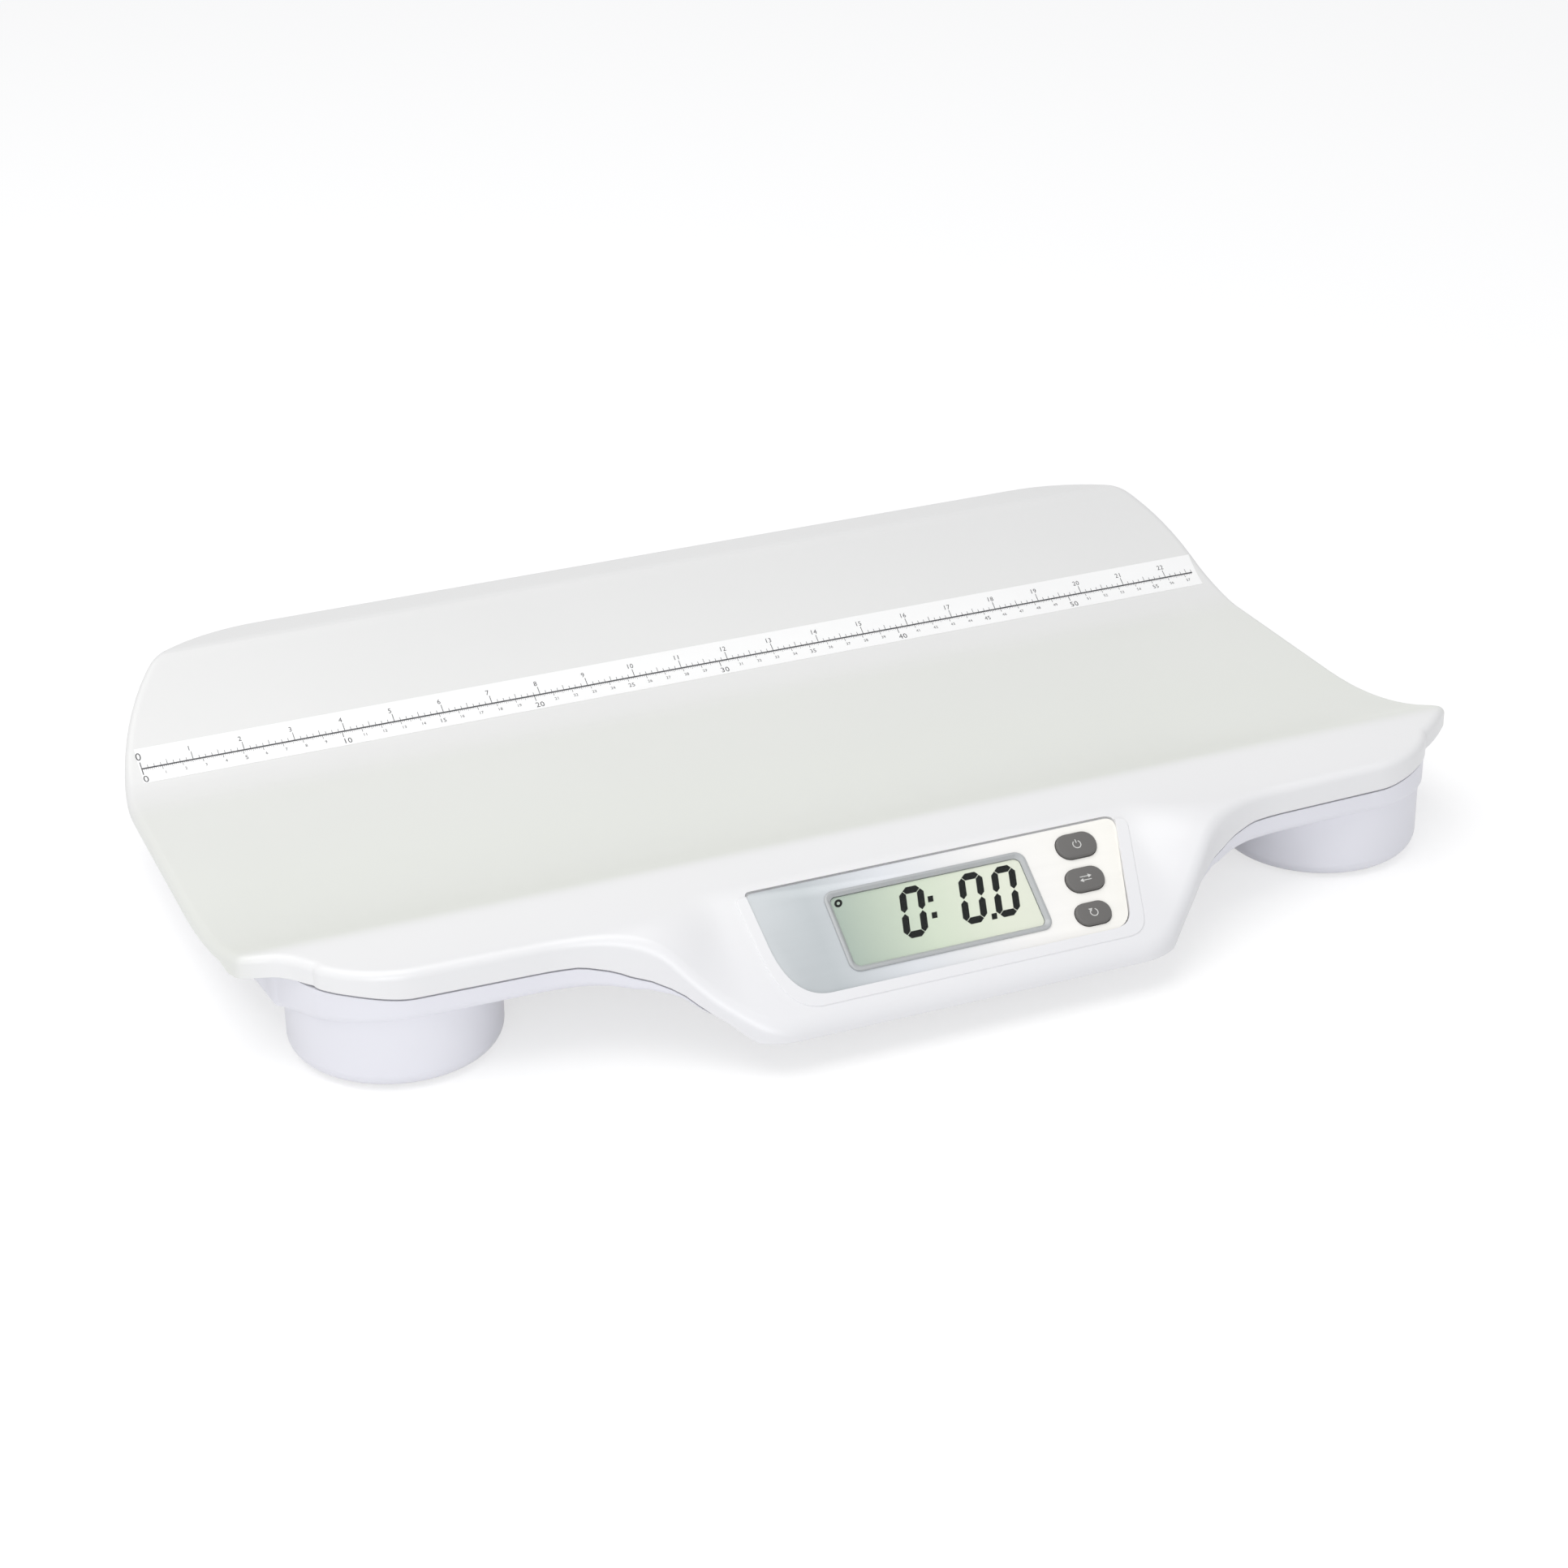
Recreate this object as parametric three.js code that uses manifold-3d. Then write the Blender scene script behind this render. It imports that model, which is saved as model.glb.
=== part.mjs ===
// Digital baby weighing scale: a long cradle-shaped tray with a sloping display apron, on four round
// pedestals that each hide a load cell. Millimetres. X runs along the ruler, +Y to the back, +Z up.
// The origin is on the table, under the middle of the scale.
import * as THREE from 'three';
import { mergeVertices } from 'three/addons/utils/BufferGeometryUtils.js';
import Module from 'manifold-3d';

const wasm = await Module();
wasm.setup();

const degree = Math.PI / 180;

// Driving dimensions
const length = 605;
const depth = 390.5;
const wall = 2.8;
const gap = 0.3;
const overrun = 1;
const merge = 0.01;

// Tray section, the same all along the length
const tray = {
  floorTop: 34.6,
  floorFrontY: 7.75,
  floorBackY: 99.75,
  troughRadius: 235,
  troughAngle: 25.8 * degree,
  rampRadius: 57,
  rampAngle: 42 * degree,
  ledgeTop: 81.6,
  ledgeFallShare: 0.04,
  crestTop: 58,
  crestY: -94.45,
  crestRound: 3,
  backTaper: 3,
  cornerRadius: 90,
  edgeRound: 3.6,
};

// Front shelf and the apron that slopes down in front of it
const apron = {
  shelfMiddleSlope: 4.6 * degree,
  shelfEndSlope: 1.9 * degree,
  shelfMiddleX: 110,
  shelfEndX: 185,
  round: 5,
  sideHeight: 42,
  sideY: -174.25,
  sideSlope: 47.5 * degree,
  sideStartX: 100,
  sideFullX: 138,
  thickening: 1.9,
  bottom: 16,
  footRadius: 50,
  bridgeDrop: 1.5,
  bridgeEndX: 188.5,
  archRadius: 90,
  archAngle: 40 * degree,
  noseRadius: 30,
  tipRadius: 7,
  tipInset: 4.75,
  neck: 8.25,
};

// Lip of the tray above the parting line
const lip = { end: 6.5, changeY: -84, changeLength: 24 };

// Height of the lip along the front edge, and of the lower casing's rim that shows below it
const frontEdge = [
  { x: 100, lip: 10.5, rim: 0 },
  { x: 112, lip: 9, rim: 2.5 },
  { x: 124, lip: 11, rim: 5 },
  { x: 135, lip: 16, rim: 7 },
  { x: 144, lip: 17.4, rim: 8.5 },
  { x: 154, lip: 15.5, rim: 9.6 },
  { x: 166, lip: 13.5, rim: 11 },
  { x: 240, lip: 13.5, rim: 11 },
  { x: 265, lip: 9, rim: 14 },
  { x: 276, lip: 7.5, rim: 16 },
];

// Lower casing
const lower = {
  wall: 2.5,
  groove: 0.45,
  setBack: 0.6,
  endOverhang: 12,
  noseOverhang: 6,
  flare: 11.4,
  plateDepth: 20.5,
  frontAngle: 9.1 * degree,
  bridgeY: -140,
  apronDepth: 29,
  apronX: 86,
  apronBlend: 14,
  apronY: -88,
  apronFade: 26,
  noseSink: 1,
};

// Pedestals, with a pocket in each for the load cell
const pedestal = {
  x: 233,
  frontY: -92.25,
  backY: 110,
  bottomRadius: 47.6,
  topRadius: 47.8,
  topZ: 46,
  lift: 1,
  fillet: 7.5,
  filletSteps: 3,
  pocketRadius: 22,
  seatZ: 12,
  leadWidth: 5,
  leadHeight: 4.4,
};

// Rubber feet, load cells and their clips
const foot = { radius: 20.5, pad: 6.2, bevel: 1.2, studRadius: 4, studTop: 9.4 };
const cell = { side: 30, plate: 1.8, slot: 2.2, tongue: 11, tongueReach: 17 };
const clip = { inner: 14.2, outer: 21.6, height: 2 };

// Display panel: its top edge is the origin of a frame that slopes with the apron
const panel = {
  topY: -138.25,
  topZ: 60,
  slope: 34 * degree,
  sink: 0.8,
  overlay: 0.8,
  left: -85.4,
  rightTop: 96,
  rightBottom: 84,
  height: 54.6,
  corner: 5,
  sweep: 19,
  sweepStart: 30,
  lean: 1.2,
  ridge: 0.8,
};

const display = {
  x: -2.5,
  y: -27.5,
  width: 94,
  height: 36,
  bezel: 2.3,
  bezelProud: 1,
  lens: 1,
  glass: 1.9,
  glassMargin: 2.5,
  reflector: 2.4,
  reflectorMargin: 4,
  zebra: 2,
};

const board = {
  left: -84,
  right: 84,
  top: -2,
  bottom: -53,
  thickness: 1.6,
  bossRadius: 3.2,
  bossInset: 5,
};

const buttons = [
  { name: 'tare', x: 72.7, y: -10.5, width: 19.6, height: 12.4 },
  { name: 'unit', x: 70, y: -27.8, width: 18.6, height: 11.9 },
  { name: 'recall', x: 67, y: -45, width: 17.2, height: 11.2 },
];
const button = { proud: 1.7, clearance: 0.35, flange: 1.6, flangeThickness: 1.2, travel: 0.6, stemRadius: 2 };
const tact = { side: 6, body: 1.6, plungerRadius: 1.6, plunger: 0.5 };
const buzzer = { radius: 6, height: 3.2, x: -74, y: -28 };

// Ruler strip on the back slope
const ruler = { length: 578.5, x: 0.75, lowY: 121.65, highY: 138.25, lift: 0.15, thickness: 0.4 };

// Screws
const screw = { radius: 1.5, head: 3, headHeight: 2, bite: 7, bore: 1.85 };
const boardScrew = { radius: 1.1, head: 2.2, headHeight: 1.3, bite: 3.4, bore: 1.4 };
const casingBoss = { radius: 4.2, headRoom: 0.5, seat: 1.6 };
const casingScrewPlaces = [
  { x: -150, y: -64 },
  { x: 150, y: -64 },
  { x: -150, y: 86 },
  { x: 150, y: 86 },
  { x: -262, y: 10 },
  { x: 262, y: 10 },
];

// Battery bay under the tray floor, its sliding door and what is in it
const battery = { radius: 7.1, length: 49.2, capRadius: 2.7, cap: 1.3, count: 4, pitch: 14.8, plate: 0.8, spring: 3 };
const bay = { x: 0, y: 30, endRoom: 0.5, sideRoom: 0.6, wall: 1.5, belly: 11.5, bellyMargin: 14, roofRoom: 0.5 };
const door = { thickness: 2, overlap: 3, grip: 0.6, gripWidth: 1.6, gripLength: 22, gripPitch: 3.6 };
const rail = { width: 2.5, lip: 2.4, lipThickness: 1.2, stop: 2.5 };

// Sensor board and the wiring
const sensorBoard = { x: 110, y: 34, width: 70, depth: 48, thickness: 1.6, standoff: 1.4, standoffRadius: 3 };
const chip = { width: 14, depth: 10, height: 1.6 };
const plugBlock = { width: 16, depth: 5, height: 4 };
const lead = { radius: 1, sides: 5, chord: 13, climb: 8.5, float: 1.7, lane: 8, laneY: -10, laneX: 60, pad: 6 };
const ribbon = { width: 14, thickness: 0.5, tail: 6, bends: 8, float: 4.5 };
const batteryLead = { radius: 0.9, spacing: 1.5 };

// Where the back slope meets the ledge behind it
const rampStraightRise = tray.ledgeTop - tray.floorTop - tray.rampRadius * (1 - Math.cos(tray.rampAngle));
const rampArcEndY = tray.floorBackY + tray.rampRadius * Math.sin(tray.rampAngle);
const rearCrestY = rampArcEndY + rampStraightRise / Math.tan(tray.rampAngle);

// Surfaces of the moulding

function arcRise(reach, radius, angle) {
  const end = radius * Math.sin(angle);
  if (reach <= 0) return 0;
  if (reach < end) return radius - Math.sqrt(radius * radius - reach * reach);
  return radius * (1 - Math.cos(angle)) + (reach - end) * Math.tan(angle);
}

function softMin(a, b, round) {
  const near = Math.max(round - Math.abs(a - b), 0) / round;
  return Math.min(a, b) - (near * near * round) / 4;
}

function ease(value, start, end) {
  const t = Math.min(Math.max((value - start) / (end - start), 0), 1);
  return t * t * (3 - 2 * t);
}

function mix(a, b, share) {
  return a + (b - a) * share;
}

function trayRise(y) {
  const front = arcRise(tray.floorFrontY - y, tray.troughRadius, tray.troughAngle);
  const back = arcRise(y - tray.floorBackY, tray.rampRadius, tray.rampAngle);
  return tray.floorTop + front + back;
}

function shelfTop(x, y) {
  const toEnd = ease(Math.abs(x), apron.shelfMiddleX, apron.shelfEndX);
  const slope = mix(Math.tan(apron.shelfMiddleSlope), Math.tan(apron.shelfEndSlope), toEnd);
  return tray.crestTop + (tray.crestY - y) * slope;
}

function apronTop(x, y) {
  const middle = panel.topZ + panel.sink / Math.cos(panel.slope) + (y - panel.topY) * Math.tan(panel.slope);
  const side = apron.sideHeight + (y - apron.sideY) * Math.tan(apron.sideSlope);
  return mix(middle, side, ease(Math.abs(x), apron.sideStartX, apron.sideFullX));
}

function topZ(x, y) {
  const rise = trayRise(y);
  if (y > tray.floorFrontY) {
    const ledge = tray.ledgeTop - Math.max(y - rearCrestY, 0) * tray.ledgeFallShare;
    return softMin(rise, ledge, tray.crestRound);
  }
  return softMin(softMin(rise, shelfTop(x, y), tray.crestRound), apronTop(x, y), apron.round);
}

// A value of the front edge's table, between its places in proportion
function alongFront(key, x) {
  const at = frontEdge.findIndex((place) => place.x > Math.abs(x));
  if (at === 0) return frontEdge[0][key];
  if (at < 0) return frontEdge[frontEdge.length - 1][key];
  const [before, after] = [frontEdge[at - 1], frontEdge[at]];
  return mix(before[key], after[key], (Math.abs(x) - before.x) / (after.x - before.x));
}

function lipZ(x, y) {
  const front = alongFront('lip', x);
  const height = mix(front, lip.end, ease(y, lip.changeY, lip.changeY + lip.changeLength));
  return Math.max(topZ(x, y) - height, apron.bottom);
}

function ceilingZ(x, y) {
  const onApron = 1 - ease(y, panel.topY, panel.topY + lip.changeLength);
  const thick = wall + apron.thickening * onApron;
  return Math.max(topZ(x, y) - thick, lipZ(x, y) + gap);
}

function plateZ(x, y) {
  const inX = 1 - ease(Math.abs(x), lower.apronX, lower.apronX + lower.apronBlend);
  const inY = 1 - ease(y, lower.apronY - lower.apronFade, lower.apronY);
  const top = topZ(x, y);
  const rise = arcRise(tray.floorFrontY - y, tray.troughRadius, lower.frontAngle);
  const underRim = top - alongFront('lip', x) - alongFront('rim', x);
  const ramp = tray.floorTop - lower.plateDepth + rise;
  const inFront = y < lower.bridgeY ? Math.min(ramp, underRim) : ramp;
  const plain = y > tray.floorFrontY ? top - lower.plateDepth : inFront;
  const deep = Math.min(top - lower.apronDepth, plain);
  const z = mix(plain, deep, inX * inY);
  return y < panel.topY ? Math.max(z, apron.bottom - lower.noseSink) : z;
}

// Plan outline: the right-hand half, from the back edge to the front edge

const frontY = -depth / 2;
const backY = depth / 2;
const fine = { ramp: 6, trough: 5, corner: 8, tip: 3, foot: 7, arch: 5, nose: 4 };
const coarse = { ramp: 4, trough: 3, corner: 6, tip: 2, foot: 5, arch: 4, nose: 3 };

function sectionRows(steps) {
  const rows = [];
  for (let k = 0; k <= steps.ramp; k += 1) {
    rows.push(tray.floorBackY + tray.rampRadius * Math.sin((tray.rampAngle * k) / steps.ramp));
  }
  for (let k = 0; k <= steps.trough; k += 1) {
    rows.push(tray.floorFrontY - tray.troughRadius * Math.sin((tray.troughAngle * k) / steps.trough));
  }
  return rows;
}

function halfOutline(overhangEnd, overhangNose, steps) {
  const end = length / 2 - overhangEnd;
  const back = backY - overhangEnd;
  const corner = tray.cornerRadius - overhangEnd;
  const cornerX = end - tray.backTaper - corner;
  const cornerY = back - corner;
  const tipY = tray.crestY + gap + apron.tipRadius;
  const points = [];
  for (let k = 0; k <= steps.corner; k += 1) {
    const angle = (90 * degree * (steps.corner - k)) / steps.corner;
    points.push([cornerX + corner * Math.cos(angle), cornerY + corner * Math.sin(angle)]);
  }
  const crestRows = [-1, 0, 1, 2].map((step) => rearCrestY + step * tray.crestRound);
  for (const y of [...sectionRows(steps), ...crestRows, ruler.lowY, ruler.highY]) {
    if (y > cornerY && y < back - tray.crestRound) {
      points.push([cornerX + Math.sqrt(corner * corner - (y - cornerY) ** 2), y]);
    } else if (y <= cornerY && y > tipY + gap) {
      points.push([end - (tray.backTaper * (y - tipY)) / (cornerY - tipY), y]);
    }
  }
  points.sort((a, b) => b[1] - a[1]);
  for (let k = 0; k <= steps.tip; k += 1) {
    const angle = (-78 * degree * k) / steps.tip;
    const radius = apron.tipRadius;
    points.push([end - radius + radius * Math.cos(angle), tipY + radius * Math.sin(angle)]);
  }
  const neckY = tipY - apron.tipRadius;
  const footStart = Math.asin((neckY - apron.neck - pedestal.frontY) / apron.footRadius);
  const waistX = pedestal.x + apron.footRadius;
  if (overhangEnd < apron.tipRadius) {
    points.push([waistX + apron.tipInset, neckY - apron.tipInset / 4]);
    points.push([waistX, neckY - apron.neck / 2]);
  }
  for (let k = 0; k <= steps.foot; k += 1) {
    const angle = mix(footStart, -90 * degree, k / steps.foot);
    const x = pedestal.x + apron.footRadius * Math.cos(angle);
    points.push([x, pedestal.frontY + apron.footRadius * Math.sin(angle)]);
  }
  const bridgeY = pedestal.frontY - apron.footRadius - apron.bridgeDrop;
  for (let k = 0; k <= steps.arch; k += 1) {
    const angle = (apron.archAngle * k) / steps.arch;
    const x = apron.bridgeEndX - apron.archRadius * Math.sin(angle);
    points.push([x, bridgeY - apron.archRadius * (1 - Math.cos(angle))]);
  }
  const front = frontY + overhangNose;
  const [archX, archY] = points[points.length - 1];
  const noseTopY = front + apron.noseRadius * (1 - Math.cos(apron.archAngle));
  const noseX = archX - (archY - noseTopY) / Math.tan(apron.archAngle);
  for (let k = 0; k <= steps.nose; k += 1) {
    const angle = (apron.archAngle * (steps.nose - k)) / steps.nose;
    const x = noseX - apron.noseRadius * (Math.sin(apron.archAngle) - Math.sin(angle));
    points.push([x, front + apron.noseRadius * (1 - Math.cos(angle))]);
  }
  const spaced = [points[0]];
  for (const point of points.slice(1, -1)) {
    if (spaced[spaced.length - 1][1] - point[1] > gap) spaced.push(point);
  }
  if (spaced[spaced.length - 1][1] - points[points.length - 1][1] < gap) spaced.pop();
  spaced.push(points[points.length - 1]);
  return spaced;
}

// Extra columns where the surface changes along X
const columnShares = [0, 0.3, 0.55, 0.8, 1];

function innerColumns(y, reach) {
  if (y > tray.crestY) return [];
  const end = y < panel.topY ? apron.sideFullX : apron.shelfEndX;
  const outer = columnShares.map((share) => mix(apron.sideStartX, end, share));
  const columns = [lower.apronX, lower.apronX + lower.apronBlend / 2, ...outer];
  return columns.filter((x) => x < reach - tray.edgeRound);
}

// A closed loop round a plan outline: the back edge, the right side, the front edge and the left side
function planLoop(half) {
  const last = half.length - 1;
  const loop = [];
  half.forEach(([x, y]) => loop.push([x, y]));
  const frontColumns = innerColumns(half[last][1], half[last][0]);
  [...frontColumns].reverse().forEach((x) => loop.push([x, half[last][1]]));
  frontColumns.forEach((x) => loop.push([-x, half[last][1]]));
  [...half].reverse().forEach(([x, y]) => loop.push([-x, y]));
  return { loop, rows: half.length, frontCount: frontColumns.length };
}

function insetLoop(plan, distance) {
  const { loop } = plan;
  return loop.map(([x, y], k) => {
    const [px, py] = loop[(k + loop.length - 1) % loop.length];
    const [nx, ny] = loop[(k + 1) % loop.length];
    const first = new THREE.Vector2(-(py - y), px - x).normalize();
    const second = new THREE.Vector2(-(y - ny), x - nx).normalize();
    const normal = first.clone().add(second).normalize();
    const stretch = 1 / Math.max(normal.dot(first), 0.6);
    return [x + normal.x * distance * stretch, y + normal.y * distance * stretch];
  });
}

// Rows of a height field inside a loop: each from the left side to the right side
function loopRows(plan, loop) {
  const rows = [];
  const count = plan.rows;
  const total = loop.length;
  for (let k = 0; k < count; k += 1) {
    const right = loop[k];
    const left = loop[total - 1 - k];
    if (k === count - 1) {
      const front = loop.slice(count, count + 2 * plan.frontCount);
      rows.push([left, ...[...front].reverse(), right]);
    } else {
      const columns = innerColumns(right[1], right[0]);
      const inner = [...[...columns].reverse().map((x) => -x), ...columns];
      rows.push([left, ...inner.map((x) => [x, right[1]]), right]);
    }
  }
  return rows;
}

class Skin {
  constructor() {
    this.positions = [];
  }

  triangle(a, b, c, flip) {
    const order = flip ? [a, c, b] : [a, b, c];
    order.forEach((point) => this.positions.push(...point));
  }

  // A height field over rows that run from the back to the front
  sheet(rows, heightAt, flip) {
    const lifted = rows.map((row) => row.map(([x, y]) => [x, y, heightAt(x, y)]));
    for (let k = 0; k < lifted.length - 1; k += 1) {
      const back = lifted[k];
      const front = lifted[k + 1];
      let i = 0;
      let j = 0;
      while (i < back.length - 1 || j < front.length - 1) {
        const backNext = i < back.length - 1 ? back[i + 1][0] : Infinity;
        const frontNext = j < front.length - 1 ? front[j + 1][0] : Infinity;
        if (backNext <= frontNext) {
          this.triangle(back[i], front[j], back[i + 1], flip);
          i += 1;
        } else {
          this.triangle(back[i], front[j], front[j + 1], flip);
          j += 1;
        }
      }
    }
  }

  // A band between two loops with the same number of points; outward when the first lies above
  band(upper, under, flip) {
    const count = upper.length;
    for (let k = 0; k < count; k += 1) {
      const next = (k + 1) % count;
      this.triangle(upper[k], upper[next], under[k], flip);
      this.triangle(upper[next], under[next], under[k], flip);
    }
  }

  geometry() {
    const geometry = new THREE.BufferGeometry();
    geometry.setAttribute('position', new THREE.Float32BufferAttribute(this.positions, 3));
    return geometry;
  }
}

function liftLoop(loop, heightAt) {
  return loop.map(([x, y]) => [x, y, heightAt(x, y)]);
}

// Solids, and the joins and cuts between them

function toSolid(geometry) {
  const bare = geometry.clone();
  bare.deleteAttribute('normal');
  bare.deleteAttribute('uv');
  const merged = mergeVertices(bare, 1e-4);
  const index = Uint32Array.from(merged.index.array);
  const vertProperties = Float32Array.from(merged.attributes.position.array);
  return new wasm.Manifold(new wasm.Mesh({ numProp: 3, vertProperties, triVerts: index }));
}

function toGeometry(solid) {
  const mesh = solid.getMesh();
  const geometry = new THREE.BufferGeometry();
  geometry.setAttribute('position', new THREE.Float32BufferAttribute(Float32Array.from(mesh.vertProperties), 3));
  geometry.setIndex(Array.from(mesh.triVerts));
  geometry.computeVertexNormals();
  return geometry;
}

function union(solids) {
  return solids.reduce((all, solid) => all.add(solid));
}

function block(x0, x1, y0, y1, z0, z1) {
  const geometry = new THREE.BoxGeometry(x1 - x0, y1 - y0, z1 - z0);
  geometry.translate((x0 + x1) / 2, (y0 + y1) / 2, (z0 + z1) / 2);
  return toSolid(geometry);
}

function rod(radius, x, y, z0, z1, sides = 12) {
  const geometry = new THREE.CylinderGeometry(radius, radius, z1 - z0, sides);
  geometry.rotateX(90 * degree);
  geometry.translate(x, y, (z0 + z1) / 2);
  return toSolid(geometry);
}

function turned(profile, x, y, sides = 24) {
  const points = profile.map(([r, z]) => new THREE.Vector2(r, z));
  const geometry = new THREE.LatheGeometry(points, sides);
  geometry.rotateX(90 * degree);
  geometry.translate(x, y, 0);
  return toSolid(geometry);
}

function roundedShape(width, height, radius) {
  const shape = new THREE.Shape();
  const w = width / 2;
  const h = height / 2;
  const r = Math.min(radius, w, h);
  shape.moveTo(-w + r, -h);
  shape.lineTo(w - r, -h);
  shape.absarc(w - r, -h + r, r, -90 * degree, 0);
  shape.lineTo(w, h - r);
  shape.absarc(w - r, h - r, r, 0, 90 * degree);
  shape.lineTo(-w + r, h);
  shape.absarc(-w + r, h - r, r, 90 * degree, 180 * degree);
  shape.lineTo(-w, -h + r);
  shape.absarc(-w + r, -h + r, r, 180 * degree, 270 * degree);
  return shape;
}

function plate(shape, z0, z1, x = 0, y = 0, curveSegments = 3) {
  const geometry = new THREE.ExtrudeGeometry(shape, { depth: z1 - z0, bevelEnabled: false, curveSegments });
  geometry.translate(x, y, z0);
  return toSolid(geometry);
}

function roundedPlate(width, height, radius, z0, z1, x = 0, y = 0) {
  return plate(roundedShape(width, height, radius), z0, z1, x, y);
}

function tube(points, radius, sides, steps) {
  const shape = new THREE.Shape();
  for (let k = 0; k < sides; k += 1) {
    const angle = (360 * degree * k) / sides;
    const x = radius * Math.cos(angle);
    const y = radius * Math.sin(angle);
    if (k === 0) shape.moveTo(x, y);
    else shape.lineTo(x, y);
  }
  const path = new THREE.CatmullRomCurve3(points.map(([x, y, z]) => new THREE.Vector3(x, y, z)));
  return toSolid(new THREE.ExtrudeGeometry(shape, { extrudePath: path, steps, bevelEnabled: false }));
}

// The panel's own frame: x along X, y up the slope, z out of the slope
const panelFrame = new THREE.Matrix4()
  .makeRotationX(panel.slope)
  .setPosition(0, panel.topY, panel.topZ);

function onPanel(solid) {
  const geometry = toGeometry(solid);
  geometry.applyMatrix4(panelFrame);
  return toSolid(geometry);
}

// Levels in the panel's frame, from the front to the back
const level = {};
level.casingFace = panel.sink;
level.pocket = -panel.overlay - gap;
level.casingBack = panel.sink - (wall + apron.thickening) * Math.cos(panel.slope);
level.glassTop = level.casingBack - gap;
level.glassBottom = level.glassTop - display.glass;
level.reflectorTop = level.glassBottom - gap;
level.reflectorBottom = level.reflectorTop - display.reflector;
level.boardTop = level.reflectorBottom - gap;
level.boardBottom = level.boardTop - board.thickness;

const boardPlaces = [];
const glassRight = display.x + display.width / 2 + display.glassMargin;
const keysLeft = Math.min(...buttons.map(({ x, width }) => x - width / 2 - button.clearance - button.flange));
for (const x of [board.left + board.bossInset, (glassRight + keysLeft) / 2]) {
  for (const y of [board.top - board.bossInset, board.bottom + board.bossInset]) boardPlaces.push({ x, y });
}

const railX = bay.x + (battery.count * battery.pitch) / 2 + bay.sideRoom + bay.wall + door.overlap + gap;
const bayHalfX = (battery.count * battery.pitch) / 2 + bay.sideRoom;
const bayHalfY = battery.length / 2 + battery.cap + battery.plate + battery.spring + bay.endRoom;
const cellZ = bay.belly + gap + battery.radius;
const bayRoof = cellZ + battery.radius + bay.roofRoom;
const doorTop = bay.belly - gap;
const doorBottom = doorTop - door.thickness;
const doorHalfX = railX - gap - bay.x;
const doorHalfY = bayHalfY + bay.wall + door.overlap;
const pedestals = [];
for (const [row, y] of [['front', pedestal.frontY], ['back', pedestal.backY]]) {
  for (const [side, x] of [['left', -pedestal.x], ['right', pedestal.x]]) {
    pedestals.push({ name: `${row}_${side}`, x, y });
  }
}

function shelfFloorZ(x, y) {
  return plateZ(x, y) + lower.wall;
}

// Upper casing: the tray, the shelf and the apron in one moulding

const upperPlan = planLoop(halfOutline(0, 0, fine));

function panelShape(margin) {
  const shape = new THREE.Shape();
  const left = panel.left - margin;
  const right = panel.rightTop + margin;
  const low = -panel.height - margin;
  const rightLow = panel.rightBottom + margin;
  const r = panel.corner;
  shape.moveTo(left + r, margin);
  shape.quadraticCurveTo(left, margin, left + r * Math.sin(panel.slope), margin - r);
  shape.lineTo(left + panel.lean / 2, -panel.sweepStart);
  shape.quadraticCurveTo(left + panel.lean, low, left + panel.sweep, low);
  shape.lineTo(rightLow - r, low);
  shape.quadraticCurveTo(rightLow, low, rightLow + r / 4, low + r);
  shape.lineTo(right - r / 4, margin - r);
  shape.quadraticCurveTo(right, margin, right - r, margin);
  return shape;
}

function upperShell() {
  const skin = new Skin();
  const edge = tray.edgeRound;
  const rounding = [
    { inset: edge, drop: 0 },
    { inset: edge * (1 - Math.sin(35 * degree)), drop: edge * (1 - Math.cos(35 * degree)) },
    { inset: edge * (1 - Math.sin(65 * degree)), drop: edge * (1 - Math.cos(65 * degree)) },
    { inset: 0, drop: edge },
  ];
  const rim = rounding.map(({ inset, drop }) => {
    const loop = insetLoop(upperPlan, inset);
    return liftLoop(loop, (x, y) => Math.max(topZ(x, y) - drop, apron.bottom + gap));
  });
  skin.sheet(loopRows(upperPlan, insetLoop(upperPlan, edge)), topZ, false);
  for (let k = 0; k < rim.length - 1; k += 1) skin.band(rim[k], rim[k + 1], false);
  const outerLow = liftLoop(upperPlan.loop, lipZ);
  const innerLoop = insetLoop(upperPlan, wall);
  const innerLow = innerLoop.map(([x, y], k) => [x, y, outerLow[k][2]]);
  const innerHigh = liftLoop(innerLoop, ceilingZ);
  skin.band(rim[rim.length - 1], outerLow, false);
  skin.band(outerLow, innerLow, false);
  skin.band(innerLow, innerHigh, false);
  skin.sheet(loopRows(upperPlan, innerLoop), ceilingZ, true);
  return toSolid(skin.geometry());
}

function panelCuts() {
  const cuts = [];
  cuts.push(plate(panelShape(gap), level.pocket, overrun + level.casingFace));
  const windowWidth = display.width + 2 * gap;
  const windowHeight = display.height + 2 * gap;
  cuts.push(
    roundedPlate(windowWidth, windowHeight, display.bezel, level.casingBack - overrun, 0, display.x, display.y),
  );
  for (const place of buttons) {
    const width = place.width + 2 * button.clearance;
    const height = place.height + 2 * button.clearance;
    cuts.push(roundedPlate(width, height, height / 2, level.casingBack - overrun, 0, place.x, place.y));
    const flangeWidth = width + 2 * button.flange;
    const flangeHeight = height + 2 * button.flange;
    const low = level.casingBack - wall;
    cuts.push(roundedPlate(flangeWidth, flangeHeight, flangeHeight / 2, low, level.casingBack, place.x, place.y));
  }
  return cuts.map(onPanel);
}

function boardBosses() {
  const reach = level.casingBack + gap;
  return boardPlaces.map(({ x, y }) => {
    const post = rod(board.bossRadius, x, y, level.boardTop + gap, reach);
    const hole = rod(boardScrew.bore, x, y, level.boardTop - overrun, reach - overrun, 8);
    return onPanel(post.subtract(hole));
  });
}

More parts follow.
